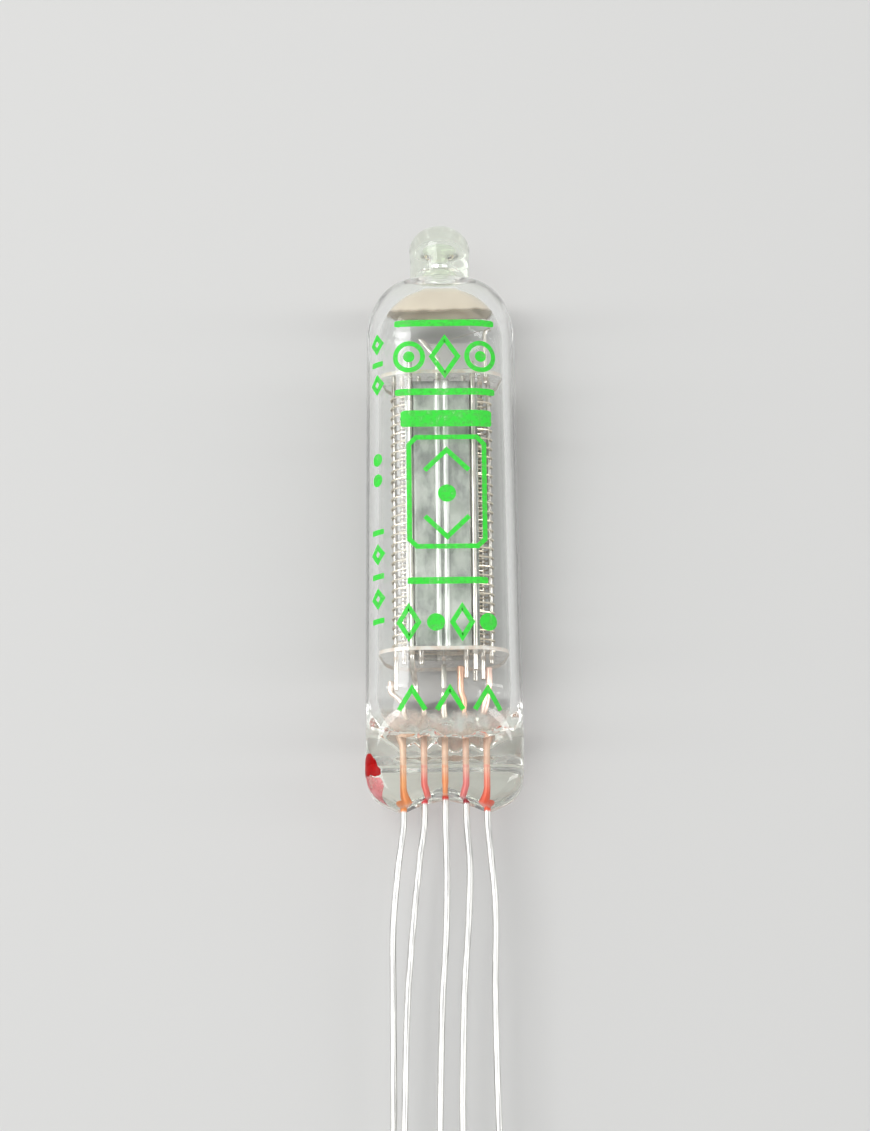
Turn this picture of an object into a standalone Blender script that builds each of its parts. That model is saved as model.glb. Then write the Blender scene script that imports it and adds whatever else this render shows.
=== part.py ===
"""Subminiature vacuum tube: an oval glass bulb with a flat press, five wire leads and its electrodes.

The tube lies on one flat side. X runs across the bulb, Y along it towards the exhaust tip, and Z is up.
Heights along the tube are measured from the end of the press. All sizes are in metres.
"""

import math

import bmesh
import bpy
from mathutils import Matrix, Vector

# Glass
BULB_WIDTH = 0.0096
BULB_DEPTH = 0.0071
BULB_CORNER = 0.0029
BULB_WALL = 0.00075
BULB_LENGTH = 0.03315
# How much nearer to the axis each side is at the shoulder than at the press
BULB_TAPER = 0.00025
SHOULDER_RISE = 0.0039
SHOULDER_WALL = 0.00045
NECK_RADIUS = 0.00187
NECK_FOOT = 0.00028
TIP_LENGTH = 0.0039
DOME_HEIGHT = 0.0016
HOLLOW_RADIUS = 0.0010
HOLLOW_LENGTH = 0.0031
HOLLOW_END = 0.00035
PRESS_DEPTH = 0.0035
PRESS_CORNER = 0.0020
PRESS_EDGE = 0.0008
PRESS_ROUND = 0.0011
PRESS_FLAT = 0.00005
MARK_DEPTH = 0.00015
MARK_WIDTH = 0.00025
PRESS_ARCH = 0.0006
SEAL_RISE = 0.0037
SEAL_CURVE = 0.8
SEAL_THICK = 0.0018
CAVITY_RISE = 0.0031
FLOOR_SHARE = 0.72
FLOOR_DEPTH = 0.0003

# Leads
LEAD_COUNT = 5
LEAD_PITCH = 0.00127
LEAD_DIAMETER = 0.0004
LEAD_STRAIGHT = 0.0006
LEAD_FOOT = 0.0016
MOUND_HEIGHT = 0.0014
MOUND_RADIUS = 0.0010
MOUND_LIP = 0.00012
SEAL_CLEARANCE = 0.000015
WELD_OVERLAP = 0.0008
# Share of the room under the bottom mica that each lead climbs, and the length that runs straight at its end
LEAD_RISES = (0.62, 0.43, 0.30, 0.90, 0.87)
LEAD_ENDS = (0.0007, 0.0006, 0.0006, 0.0016, 0.0009)

# Micas
MICA_THICKNESS = 0.00025
MICA_GAP = 0.00005
MICA_BELOW_SHOULDER = 0.0024
MICA_ABOVE_SEAL = 0.0031
HOLE_CLEARANCE = 0.00002

# Rods and grids
ROD_DIAMETER = 0.0003
SIDE_ROOM = 0.00086
SCREEN_STEP = 0.00052
CONTROL_SHARE = 0.565
ROD_STANDS = 0.0004
ROD_HANGS = 0.00025
CONTROL_DEPTH = 0.00045
SCREEN_ROOM = 0.0004
SUPPRESSOR_ROOM = 0.00045
SUPPRESSOR_WIRE = 0.00012
SCREEN_WIRE = 0.00008
CONTROL_WIRE = 0.00007
SUPPRESSOR_PITCH = 0.00058
SCREEN_PITCH = 0.0006
CONTROL_PITCH = 0.0008
WINDING_MARGIN = 0.00035
WELD_GAP = 0.00001

# Plate
PLATE_SHEET = 0.00012
PLATE_ROOM = 0.0003
PLATE_HALF_WIDTH = 0.0022
PLATE_EDGE = 0.00055
PLATE_STEP = 0.00032
PLATE_MARGIN = 0.0002
BEAD_HEIGHT = 0.00014
BEAD_WIDTH = 0.0002
BEAD_SLOPE = 0.0001
BEAD_SPLIT = 0.0001
PLATE_ROD_TALL = 0.00135
PLATE_ROD_SHORT = 0.00085
PLATE_ROD_FOOT = 0.0010

# Filament and getter
FILAMENT_DIAMETER = 0.00006
FILAMENT_HOLE = 0.00024
SPRING_RISE = 0.0006
SPRING_WIDTH = 0.00035
STRIP_THICKNESS = 0.00008
TAB_WIDTH = 0.0003
TAB_JOG = 0.0005
GETTER_WIDTH = 0.00035
GETTER_OFFSET = -0.00015
GETTER_FRONT = 0.0009
GETTER_LEG = 0.0012
GETTER_REACH = 0.00105
GETTER_RISE = 0.0013
LEG_HANGS = 0.00015
SUPPORT_INSET = 0.00019
SUPPORT_HEIGHT = 0.0031
SUPPORT_HOOK = 0.0004
FILM_GAP = 0.00002
FILM_THICKNESS = 0.00003

# Paint dot
DOT_HEIGHT = 0.0024
DOT_LENGTH = 0.00125
DOT_REACH = 0.0014
DOT_RAISE = 0.0012
PAINT_GAP = 0.00001
PAINT_THICKNESS = 0.00004

# Where each lead goes below the press: distance down, then sideways and up from its seal
LEAD_BENDS = (
    ((0.0038, -0.00038, 0.0), (0.0074, -0.00070, -0.0001), (0.0120, -0.00073, -0.0001),
     (0.0205, -0.00080, -0.0002), (0.0340, -0.00140, -0.0003)),
    ((0.0029, -0.00029, 0.0), (0.0065, -0.00068, 0.0001), (0.0120, -0.00114, 0.0002),
     (0.0205, -0.00140, 0.0003), (0.0350, -0.00160, 0.0005)),
    ((0.0048, 0.00004, 0.0), (0.0085, -0.00008, -0.0001), (0.0120, -0.00031, -0.0001),
     (0.0205, -0.00055, 0.0), (0.0330, -0.00070, 0.0)),
    ((0.0034, 0.00017, 0.0), (0.0065, 0.00008, 0.0001), (0.0120, -0.00027, 0.00015),
     (0.0205, -0.00045, 0.0002), (0.0345, -0.00030, 0.0002)),
    ((0.0029, 0.00017, 0.0), (0.0059, 0.00041, -0.0001), (0.0120, 0.00034, -0.00015),
     (0.0205, 0.00050, -0.0003), (0.0335, 0.00110, -0.0004)),
)
# How the points of a lead gather at its sharper bends, near the press and inside the bulb
LEAD_POINTS = 12
LEAD_GATHER = 1.25
INNER_PARTS = (0.0, 0.3, 0.7, 1.0)

# Facets
SHARP_ANGLE = math.radians(35)
GLASS_SIDES = 40
HOLLOW_SIDES = 32
HOLE_SIDES = 8
CUTTER_SIDES = 16
ARCH_SIDES = 96
DAB_SIDES = 16
DAB_RINGS = 10
SHOULDER_STEPS = 6
# How many of the shoulder's steps lie below the getter film
FILM_START = 1
CORNER_STEPS = 5
SEAL_STEPS = 5
FOOT_STEPS = 2
HOLLOW_STEPS = 3
HOOK_STEPS = 3
SUPPRESSOR_SIDES = 10
SCREEN_SIDES = 8
CONTROL_SIDES = 6

half_width = BULB_WIDTH / 2
half_depth = BULB_DEPTH / 2
inner_width = half_width - BULB_WALL
shoulder_width = half_width - BULB_TAPER
inner_depth = half_depth - BULB_WALL
shoulder_height = BULB_LENGTH - SHOULDER_RISE
mark_low = PRESS_CORNER + PRESS_FLAT
mark_height = mark_low + MARK_WIDTH
seal_height = mark_height + SEAL_RISE
rest_centre = (seal_height + shoulder_height) / 2
cavity_floor = mark_height + SEAL_THICK
cavity_full = cavity_floor + CAVITY_RISE
rod_radius = ROD_DIAMETER / 2
lead_radius = LEAD_DIAMETER / 2
side_by_side = rod_radius + lead_radius + WELD_GAP

mica_top_face = shoulder_height - MICA_BELOW_SHOULDER
mica_top_under = mica_top_face - MICA_THICKNESS
mica_bottom_under = seal_height + MICA_ABOVE_SEAL
mica_bottom_face = mica_bottom_under + MICA_THICKNESS
rod_top = mica_top_face + ROD_STANDS
rod_bottom = mica_bottom_under - ROD_HANGS

suppressor_x = shoulder_width - BULB_WALL - SIDE_ROOM
screen_x = suppressor_x - SCREEN_STEP
control_x = screen_x * CONTROL_SHARE
screen_depth = CONTROL_DEPTH + SCREEN_ROOM
suppressor_depth = screen_depth + SUPPRESSOR_ROOM
plate_z = suppressor_depth + SUPPRESSOR_WIRE / 2 + PLATE_ROOM
plate_rod_x = PLATE_HALF_WIDTH - PLATE_EDGE / 2
plate_rod_z = plate_z - PLATE_STEP + PLATE_SHEET / 2 + rod_radius + WELD_GAP
spring_height = rod_top + SPRING_RISE / 2
support_x = suppressor_x - SUPPORT_INSET

parts = bpy.data.collections.new("subminiature_vacuum_tube")
cutters = bpy.data.collections.new("cutters")


def start_scene():
    for thing in list(bpy.data.objects):
        bpy.data.objects.remove(thing, do_unlink=True)
    bpy.context.scene.collection.children.link(parts)
    bpy.context.scene.collection.children.link(cutters)


def at(x, height, z):
    """A point of the tube: across, along from the end of the press, and up from its axis."""
    return Vector((x, height - rest_centre, z + half_depth))


def finish(name, colour, roughness, metallic=0.0, transmission=0.0, alpha=1.0):
    material = bpy.data.materials.new(name)
    material.use_nodes = True
    shader = material.node_tree.nodes["Principled BSDF"]
    shader.inputs["Base Color"].default_value = (*colour, 1.0)
    shader.inputs["Roughness"].default_value = roughness
    shader.inputs["Metallic"].default_value = metallic
    shader.inputs["Transmission Weight"].default_value = transmission
    shader.inputs["Alpha"].default_value = alpha
    return material


def add_object(name, data, material=None, collection=parts):
    thing = bpy.data.objects.new(name, data)
    if material:
        data.materials.append(material)
    collection.objects.link(thing)
    return thing


def mesh_object(name, bm, material=None, collection=parts):
    bmesh.ops.recalc_face_normals(bm, faces=bm.faces)
    mesh = bpy.data.meshes.new(name)
    bm.to_mesh(mesh)
    bm.free()
    mesh.shade_smooth()
    mesh.set_sharp_from_angle(angle=SHARP_ANGLE)
    return add_object(name, mesh, material, collection)


def section(width, depth, corner, angle, sides=GLASS_SIDES):
    """A point of a rounded oblong of half sizes width and depth, on flats that touch those sizes."""
    reach = corner / math.cos(math.pi / sides)
    x = math.copysign(width - corner, math.cos(angle)) + reach * math.cos(angle)
    z = math.copysign(depth - corner, math.sin(angle)) + reach * math.sin(angle)
    return x, z


def section_angles(sides=GLASS_SIDES):
    return [(step + 0.5) * math.tau / sides for step in range(sides)]


def loft(name, sections, material=None, collection=parts, capped=True, sides=GLASS_SIDES):
    """A skin through rounded oblongs, each given as height, half width, half depth and corner."""
    bm = bmesh.new()
    rings = []
    for height, width, depth, corner in sections:
        ring = []
        for angle in section_angles(sides):
            x, z = section(width, depth, corner, angle, sides)
            ring.append(bm.verts.new(at(x, height, z)))
        rings.append(ring)
    for lower, upper in zip(rings, rings[1:]):
        for side in range(sides):
            after = (side + 1) % sides
            bm.faces.new((lower[side], lower[after], upper[after], upper[side]))
    if capped:
        bm.faces.new(rings[0])
        bm.faces.new(rings[-1])
    return mesh_object(name, bm, material, collection)


def quarter(steps):
    """Angles from 0 to 90 degrees in even steps."""
    return [math.pi / 2 * step / steps for step in range(steps + 1)]


def press_depth(height):
    """Half the depth of the press, rounded at its end."""
    if height >= PRESS_EDGE:
        return PRESS_DEPTH / 2
    drop = PRESS_EDGE - math.sqrt(PRESS_EDGE**2 - (PRESS_EDGE - height) ** 2)
    return PRESS_DEPTH / 2 - drop


def press_sections():
    """The flat press, round at its corners and its end, with the jaws' mark across it."""
    made = []
    for angle in quarter(CORNER_STEPS):
        height = PRESS_CORNER * (1 - math.cos(angle))
        width = half_width - PRESS_CORNER * (1 - math.sin(angle))
        depth = press_depth(height)
        made.append((height, width, depth, min(PRESS_ROUND, depth)))
    made.append((mark_low, half_width, PRESS_DEPTH / 2, PRESS_ROUND))
    made.append((mark_height, half_width, PRESS_DEPTH / 2 - MARK_DEPTH, PRESS_ROUND))
    for angle in quarter(SEAL_STEPS)[1:]:
        grown = math.sin(angle)
        height = mark_height + SEAL_RISE * (1 - math.cos(angle)) ** SEAL_CURVE
        depth = PRESS_DEPTH / 2 + (half_depth - PRESS_DEPTH / 2) * grown
        corner = PRESS_ROUND + (BULB_CORNER - PRESS_ROUND) * grown
        made.append((height, half_width, depth, min(corner, depth)))
    return made


def shoulder_sections(base, width, depth, corner, rise, end):
    """The bulb's round shoulder, from its full oval at base in to a circle of radius end."""
    made = []
    for angle in quarter(SHOULDER_STEPS):
        near = math.cos(angle)
        made.append((
            base + rise * math.sin(angle),
            end + (width - end) * near,
            end + (depth - end) * near,
            min(end + (corner - end) * near, end + (depth - end) * near),
        ))
    return made


def tip_sections():
    """The exhaust tip: a small fillet, a short neck and a dome."""
    made = []
    for angle in quarter(FOOT_STEPS)[1:]:
        radius = NECK_RADIUS + NECK_FOOT * (1 - math.sin(angle))
        made.append((BULB_LENGTH + NECK_FOOT * (1 - math.cos(angle)), radius, radius, radius))
    centre = BULB_LENGTH + TIP_LENGTH - DOME_HEIGHT
    for angle in quarter(CORNER_STEPS)[:-1]:
        radius = NECK_RADIUS * math.cos(angle)
        made.append((centre + DOME_HEIGHT * math.sin(angle), radius, radius, radius))
    return made


def outer_sections():
    corner = min(BULB_CORNER, half_depth)
    end = NECK_RADIUS + NECK_FOOT
    shoulder = shoulder_sections(shoulder_height, shoulder_width, half_depth, corner, SHOULDER_RISE, end)
    return press_sections() + shoulder + tip_sections()


def cavity_floor_sections():
    """The wedge at the foot of the hollow, where the pinched glass closes on the leads."""
    corner = BULB_CORNER - BULB_WALL
    made = []
    for angle in quarter(CORNER_STEPS):
        grown = math.sin(angle)
        depth = FLOOR_DEPTH + (inner_depth - FLOOR_DEPTH) * grown
        width = inner_width * (FLOOR_SHARE + (1 - FLOOR_SHARE) * grown)
        made.append((cavity_floor + CAVITY_RISE * (1 - math.cos(angle)), width, depth, min(corner, depth)))
    return made


def cavity_shoulder_sections(inset=0.0):
    """The inside of the shoulder, moved in by inset."""
    width = shoulder_width - BULB_WALL - inset
    depth = inner_depth - inset
    corner = min(BULB_CORNER - BULB_WALL - inset, depth)
    rise = SHOULDER_RISE - SHOULDER_WALL - inset
    return shoulder_sections(shoulder_height, width, depth, corner, rise, HOLLOW_RADIUS)


def hollow_sections():
    """The narrow hollow that the sealed exhaust pipe leaves in the neck."""
    base = BULB_LENGTH - SHOULDER_WALL
    made = []
    for angle in quarter(HOLLOW_STEPS)[1:]:
        radius = HOLLOW_END + (HOLLOW_RADIUS - HOLLOW_END) * math.cos(angle)
        made.append((base + HOLLOW_LENGTH * math.sin(angle), radius, radius, radius))
    return made


def lead_x(number):
    return (number - (LEAD_COUNT - 1) / 2) * LEAD_PITCH


def round_cutter(name, radius, start, end, sides=CUTTER_SIDES):
    """A round cutter between two points."""
    bpy.ops.mesh.primitive_cylinder_add(
        vertices=sides, radius=radius / math.cos(math.pi / sides), depth=(end - start).length
    )
    cutter = bpy.context.object
    cutter.name = name
    cutter.location = (start + end) / 2
    cutter.rotation_euler = (end - start).to_track_quat("Z", "Y").to_euler()
    for home in list(cutter.users_collection):
        home.objects.unlink(cutter)
    cutters.objects.link(cutter)
    return cutter


def make_mounds(cavity):
    """Leave a small mound of glass round each lead on the floor of the hollow."""
    for number in range(LEAD_COUNT):
        bm = bmesh.new()
        bmesh.ops.create_cone(
            bm, cap_ends=True, segments=CUTTER_SIDES, radius1=MOUND_RADIUS,
            radius2=lead_radius + MOUND_LIP, depth=2 * MOUND_HEIGHT,
        )
        bmesh.ops.rotate(bm, matrix=Matrix.Rotation(-math.pi / 2, 3, "X"), verts=bm.verts)
        bmesh.ops.translate(bm, vec=at(lead_x(number), cavity_floor, 0), verts=bm.verts)
        cut(cavity, mesh_object(f"mound_cutter_{number + 1}", bm, collection=cutters))


def cut(thing, cutter, operation="DIFFERENCE"):
    cutter.hide_render = True
    cutter.display_type = "WIRE"
    modifier = thing.modifiers.new("cut " + cutter.name, "BOOLEAN")
    modifier.operation = operation
    modifier.object = cutter


def make_envelope(material):
    envelope = loft("glass_envelope", outer_sections(), material)
    cavity = cavity_floor_sections() + cavity_shoulder_sections() + hollow_sections()
    hollow = loft("cavity_cutter", cavity, collection=cutters, sides=HOLLOW_SIDES)
    make_mounds(hollow)
    cut(envelope, hollow)
    span = lead_x(LEAD_COUNT - 1)
    arch = (span**2 + PRESS_ARCH**2) / (2 * PRESS_ARCH)
    centre = PRESS_ARCH - arch
    cut(envelope, round_cutter(
        "arch_cutter", arch, at(0, centre, -PRESS_DEPTH), at(0, centre, PRESS_DEPTH), ARCH_SIDES
    ))
    for number in range(LEAD_COUNT):
        x = lead_x(number)
        cut(envelope, round_cutter(
            f"seal_cutter_{number + 1}", lead_radius + SEAL_CLEARANCE,
            at(x, -LEAD_STRAIGHT, 0), at(x, cavity_floor + LEAD_FOOT, 0),
        ))


def wire(name, points, diameter, material, resolution=1):
    """A round wire through points, closed at both ends."""
    curve = bpy.data.curves.new(name, "CURVE")
    curve.dimensions = "3D"
    curve.bevel_depth = diameter / 2
    curve.bevel_resolution = resolution
    curve.use_fill_caps = True
    spline = curve.splines.new("POLY")
    spline.points.add(len(points) - 1)
    for point, place in zip(spline.points, points):
        point.co = (*place, 1.0)
    return add_object(name, curve, material)


def eased(stations, height):
    """The value at a height on a smooth line through stations, level at the first."""
    slopes = [0.0]
    for before, here, after in zip(stations, stations[1:], stations[2:]):
        slopes.append((after[1] - before[1]) / (after[0] - before[0]))
    slopes.append((stations[-1][1] - stations[-2][1]) / (stations[-1][0] - stations[-2][0]))
    for number, (low, high) in enumerate(zip(stations, stations[1:])):
        if height <= high[0] or number == len(stations) - 2:
            run = high[0] - low[0]
            t = (height - low[0]) / run
            return (
                low[1] * (2 * t**3 - 3 * t**2 + 1) + high[1] * (3 * t**2 - 2 * t**3)
                + slopes[number] * run * (t**3 - 2 * t**2 + t) + slopes[number + 1] * run * (t**3 - t**2)
            )


def lead_inner_end(number):
    """Where a lead ends inside the bulb: across, and its height."""
    x = (
        -(suppressor_x + side_by_side),
        -(control_x + side_by_side),
        lead_x(2),
        control_x - side_by_side,
        screen_x + side_by_side,
    )[number]
    foot = cavity_floor + LEAD_FOOT
    return x, foot + (mica_bottom_under - foot) * LEAD_RISES[number]


def lead_points(number):
    """A lead's way from its free end up through the press to its end inside."""
    x = lead_x(number)
    bends = LEAD_BENDS[number]
    across = [(LEAD_STRAIGHT, 0.0)] + [(down, side) for down, side, _ in bends]
    upward = [(LEAD_STRAIGHT, 0.0)] + [(down, up) for down, _, up in bends]
    length = bends[-1][0]
    points = []
    for step in range(LEAD_POINTS, 0, -1):
        down = LEAD_STRAIGHT + (length - LEAD_STRAIGHT) * (step / LEAD_POINTS) ** LEAD_GATHER
        points.append(at(x + eased(across, down), -down, eased(upward, down)))
    points.append(at(x, -LEAD_STRAIGHT, 0))
    foot = cavity_floor + LEAD_FOOT
    end_x, end_height = lead_inner_end(number)
    bent = end_height - LEAD_ENDS[number] - foot
    for part in INNER_PARTS:
        side = part * part * (3 - 2 * part)
        points.append(at(x + (end_x - x) * side, foot + bent * part, 0))
    points.append(at(end_x, end_height, 0))
    return points


def make_leads(material):
    for number in range(LEAD_COUNT):
        wire(f"lead_{number + 1}", lead_points(number), LEAD_DIAMETER, material, resolution=2)


def rods_through_mica():
    """Each straight rod: name, across, up from the axis, lower end and upper end."""
    return (
        ("suppressor_rod_left", -suppressor_x, 0.0, lead_inner_end(0)[1] - WELD_OVERLAP, rod_top),
        ("suppressor_rod_right", suppressor_x, 0.0, rod_bottom, spring_height + ROD_STANDS),
        ("screen_rod_left", -screen_x, 0.0, rod_bottom, rod_top),
        ("screen_rod_right", screen_x, 0.0, lead_inner_end(4)[1] - WELD_OVERLAP, rod_top),
        ("control_rod_left", -control_x, 0.0, rod_bottom, rod_top),
        ("control_rod_right", control_x, 0.0, lead_inner_end(3)[1] - WELD_OVERLAP, rod_top),
        ("plate_rod_front_right", plate_rod_x, plate_rod_z, mica_bottom_under - PLATE_ROD_FOOT,
         mica_top_face + PLATE_ROD_SHORT),
        ("plate_rod_rear_right", plate_rod_x, -plate_rod_z, mica_bottom_under - PLATE_ROD_FOOT,
         mica_top_face + PLATE_ROD_SHORT),
    )


def make_rods(material):
    for name, x, z, low, high in rods_through_mica():
        wire(name, [at(x, low, z), at(x, high, z)], ROD_DIAMETER, material)


def make_plate_lead_rods(material):
    """The left plate rods, whose feet close in on the second lead and are welded to it."""
    end_x, end_height = lead_inner_end(1)
    for name, side in (("plate_rod_front_left", 1), ("plate_rod_rear_left", -1)):
        z = side * plate_rod_z
        foot_z = side * side_by_side
        points = [
            at(-plate_rod_x, mica_top_face + PLATE_ROD_TALL, z),
            at(-plate_rod_x, rod_bottom, z),
            at(end_x, end_height + ROD_DIAMETER, foot_z),
            at(end_x, end_height - WELD_OVERLAP + rod_radius, foot_z),
        ]
        wire(name, points, ROD_DIAMETER, material)


def make_winding(name, rod_x, depth, wire_diameter, pitch, sides, material):
    """A grid wire wound on its two side rods as a flattened oval."""
    reach_x = rod_x + rod_radius + WELD_GAP + wire_diameter / 2
    low = mica_bottom_face + WINDING_MARGIN
    high = mica_top_under - WINDING_MARGIN
    turns = int((high - low) / pitch)
    points = []
    for step in range(turns * sides + 1):
        angle = -(step + 0.5) * math.tau / sides
        x = reach_x * math.cos(angle) / math.cos(math.pi / sides)
        z = depth * math.sin(angle) / math.cos(math.pi / sides)
        points.append(at(x, low + pitch * step / sides, z))
    wire(name, points, wire_diameter, material, resolution=0)


def make_windings(material):
    make_winding("suppressor_winding", suppressor_x, suppressor_depth, SUPPRESSOR_WIRE,
                 SUPPRESSOR_PITCH, SUPPRESSOR_SIDES, material)
    make_winding("screen_winding", screen_x, screen_depth, SCREEN_WIRE, SCREEN_PITCH,
                 SCREEN_SIDES, material)
    make_winding("control_winding", control_x, CONTROL_DEPTH, CONTROL_WIRE, CONTROL_PITCH,
                 CONTROL_SIDES, material)


def plate_profile():
    """Half of the plate's section from its middle out: across, and up from its face."""
    bead = BEAD_SPLIT / 2
    edge = PLATE_HALF_WIDTH - PLATE_EDGE
    return (
        (bead, 0.0),
        (bead + BEAD_SLOPE, BEAD_HEIGHT),
        (bead + BEAD_SLOPE + BEAD_WIDTH, BEAD_HEIGHT),
        (bead + 2 * BEAD_SLOPE + BEAD_WIDTH, 0.0),
        (edge, 0.0),
        (edge + BEAD_SLOPE / 2, -PLATE_STEP),
        (PLATE_HALF_WIDTH, -PLATE_STEP),
    )


def make_plate(name, side, material):
    """One half of the plate: a pressed strip with a double bead and stepped edges for its rods."""
    bm = bmesh.new()
    half = plate_profile()
    whole = [(-x, up) for x, up in reversed(half)] + list(half)
    low = mica_bottom_face + PLATE_MARGIN
    high = mica_top_under - PLATE_MARGIN
    rows = [
        [bm.verts.new(at(x, height, side * (plate_z + up))) for x, up in whole]
        for height in (low, high)
    ]
    for number in range(len(whole) - 1):
        bm.faces.new((rows[0][number], rows[0][number + 1], rows[1][number + 1], rows[1][number]))
    plate = mesh_object(name, bm, material)
    thicken(plate, PLATE_SHEET)


def thicken(thing, thickness):
    solidify = thing.modifiers.new("sheet", "SOLIDIFY")
    solidify.thickness = thickness
    solidify.offset = 0.0
    solidify.use_even_offset = True


def strip(name, path, across, thickness, material):
    """A flat strip that follows path, as wide as the vector across."""
    bm = bmesh.new()
    rows = [[bm.verts.new(place + across * half) for half in (-0.5, 0.5)] for place in path]
    for low, high in zip(rows, rows[1:]):
        bm.faces.new((low[0], low[1], high[1], high[0]))
    thing = mesh_object(name, bm, material)
    thicken(thing, thickness)


def ring_spline(curve, points):
    spline = curve.splines.new("POLY")
    spline.points.add(len(points) - 1)
    for point, (x, z) in zip(spline.points, points):
        point.co = (x, z, 0.0, 1.0)
    spline.use_cyclic_u = True


def round_hole(x, z, radius):
    reach = radius / math.cos(math.pi / HOLE_SIDES)
    angles = section_angles(HOLE_SIDES)
    return [(x + reach * math.cos(angle), z + reach * math.sin(angle)) for angle in angles]


def oblong_hole(x, z, width, depth):
    return [(x - width / 2, z - depth / 2), (x + width / 2, z - depth / 2),
            (x + width / 2, z + depth / 2), (x - width / 2, z + depth / 2)]


def rod_holes():
    radius = rod_radius + HOLE_CLEARANCE
    holes = [round_hole(x, z, radius) for _, x, z, _, _ in rods_through_mica()]
    holes += [round_hole(-plate_rod_x, side * plate_rod_z, radius) for side in (-1, 1)]
    holes.append(round_hole(0.0, 0.0, FILAMENT_HOLE / 2))
    return holes


def mica_half_width(face):
    """Half the width of a mica whose upper face is at this height, where the bulb is narrowest for it."""
    narrowed = BULB_TAPER * (face - cavity_full) / (shoulder_height - cavity_full)
    return inner_width - narrowed - MICA_GAP


def make_mica(name, face, holes, material):
    """A mica spacer: a sheet that fills the bulb's oval, punched for what passes through it."""
    width = mica_half_width(face)
    depth = inner_depth - MICA_GAP
    corner = min(BULB_CORNER - BULB_WALL - MICA_GAP, depth)
    curve = bpy.data.curves.new(name, "CURVE")
    curve.dimensions = "2D"
    curve.fill_mode = "BOTH"
    curve.extrude = MICA_THICKNESS / 2
    ring_spline(curve, [
        section(width, depth, corner, angle, HOLLOW_SIDES) for angle in section_angles(HOLLOW_SIDES)
    ])
    for hole in holes:
        ring_spline(curve, hole)
    mica = add_object(name, curve, material)
    mica.location = at(0, face - MICA_THICKNESS / 2, 0)
    mica.rotation_euler = (math.pi / 2, 0, 0)


def make_micas(material):
    make_mica("bottom_mica", mica_bottom_face, rod_holes(), material)
    leg = oblong_hole(GETTER_OFFSET, GETTER_FRONT, GETTER_WIDTH + 2 * HOLE_CLEARANCE,
                      STRIP_THICKNESS + 2 * HOLE_CLEARANCE)
    support = round_hole(support_x, GETTER_FRONT, rod_radius + HOLE_CLEARANCE)
    make_mica("top_mica", mica_top_face, rod_holes() + [leg, support], material)


def make_filament(material, strip_material):
    tab_back = FILAMENT_DIAMETER / 2 + WELD_GAP + STRIP_THICKNESS / 2
    lead_back = lead_radius + WELD_GAP + STRIP_THICKNESS / 2
    lead_top = lead_inner_end(2)[1]
    wire("filament", [at(0, rod_bottom - ROD_HANGS, 0), at(0, spring_height - STRIP_THICKNESS, 0)],
         FILAMENT_DIAMETER, material)
    tab = [
        at(lead_x(2), lead_top - WELD_OVERLAP, lead_back),
        at(lead_x(2), lead_top + WELD_GAP, lead_back),
        at(lead_x(2), lead_top + TAB_JOG, tab_back),
        at(lead_x(2), rod_bottom, tab_back),
    ]
    strip("filament_tab", tab, Vector((TAB_WIDTH, 0, 0)), STRIP_THICKNESS, strip_material)
    rod_face = suppressor_x - rod_radius - WELD_GAP
    bow = spring_height + STRIP_THICKNESS
    spring = [
        at(rod_face - STRIP_THICKNESS / 2, spring_height + ROD_STANDS / 2, 0),
        at(rod_face - STRIP_THICKNESS / 2, bow, 0),
        at(screen_x, bow, 0),
        at(control_x, bow, 0),
        at(0, spring_height, 0),
        at(-SPRING_WIDTH / 2, spring_height, 0),
    ]
    strip("filament_spring", spring, Vector((0, 0, SPRING_WIDTH)), STRIP_THICKNESS, strip_material)


def make_getter(strip_material, wire_material, film_material):
    foot = mica_top_under - LEG_HANGS
    knee = mica_top_face + GETTER_LEG
    path = [
        at(GETTER_OFFSET, foot, GETTER_FRONT),
        at(GETTER_OFFSET, knee, GETTER_FRONT),
        at(GETTER_OFFSET - GETTER_REACH, knee + GETTER_RISE, GETTER_FRONT),
    ]
    strip("getter_strip", path, Vector((GETTER_WIDTH, 0, 0)), STRIP_THICKNESS, strip_material)
    top = mica_top_face + SUPPORT_HEIGHT
    hook = [at(support_x, foot, GETTER_FRONT), at(support_x, top - SUPPORT_HOOK, GETTER_FRONT)]
    for angle in quarter(HOOK_STEPS)[1:]:
        hook.append(at(support_x + SUPPORT_HOOK * (1 - math.cos(angle)),
                       top - SUPPORT_HOOK * (1 - math.sin(angle)), GETTER_FRONT))
    wire("getter_support_wire", hook, ROD_DIAMETER, wire_material)
    inset = FILM_GAP + FILM_THICKNESS / 2
    shoulder = cavity_shoulder_sections(inset)[FILM_START:]
    film = loft("getter_mirror", shoulder, film_material, capped=False, sides=HOLLOW_SIDES)
    thicken(film, FILM_THICKNESS)


def grown_sections(sections, out):
    """The outside of the glass, moved out by a little."""
    return [(height, width + out, depth + out, corner + out) for height, width, depth, corner in sections]


def make_paint_dot(material):
    """A dab of paint that wraps the edge of the press beside the first lead and fills the jaws' mark."""
    glass = outer_sections()
    filled = [each for each in glass if each[0] != mark_height]
    dot = loft("paint_dot", grown_sections(filled, PAINT_GAP + PAINT_THICKNESS), material)
    bm = bmesh.new()
    bmesh.ops.create_uvsphere(bm, u_segments=DAB_SIDES, v_segments=DAB_RINGS, radius=1.0)
    bmesh.ops.scale(bm, vec=(DOT_REACH, DOT_LENGTH / 2, DOT_REACH), verts=bm.verts)
    bmesh.ops.translate(bm, vec=at(-half_width, DOT_HEIGHT, DOT_RAISE), verts=bm.verts)
    cut(dot, mesh_object("dab_cutter", bm, collection=cutters), "INTERSECT")
    cut(dot, loft("glass_cutter", grown_sections(glass, PAINT_GAP), collection=cutters))


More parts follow.
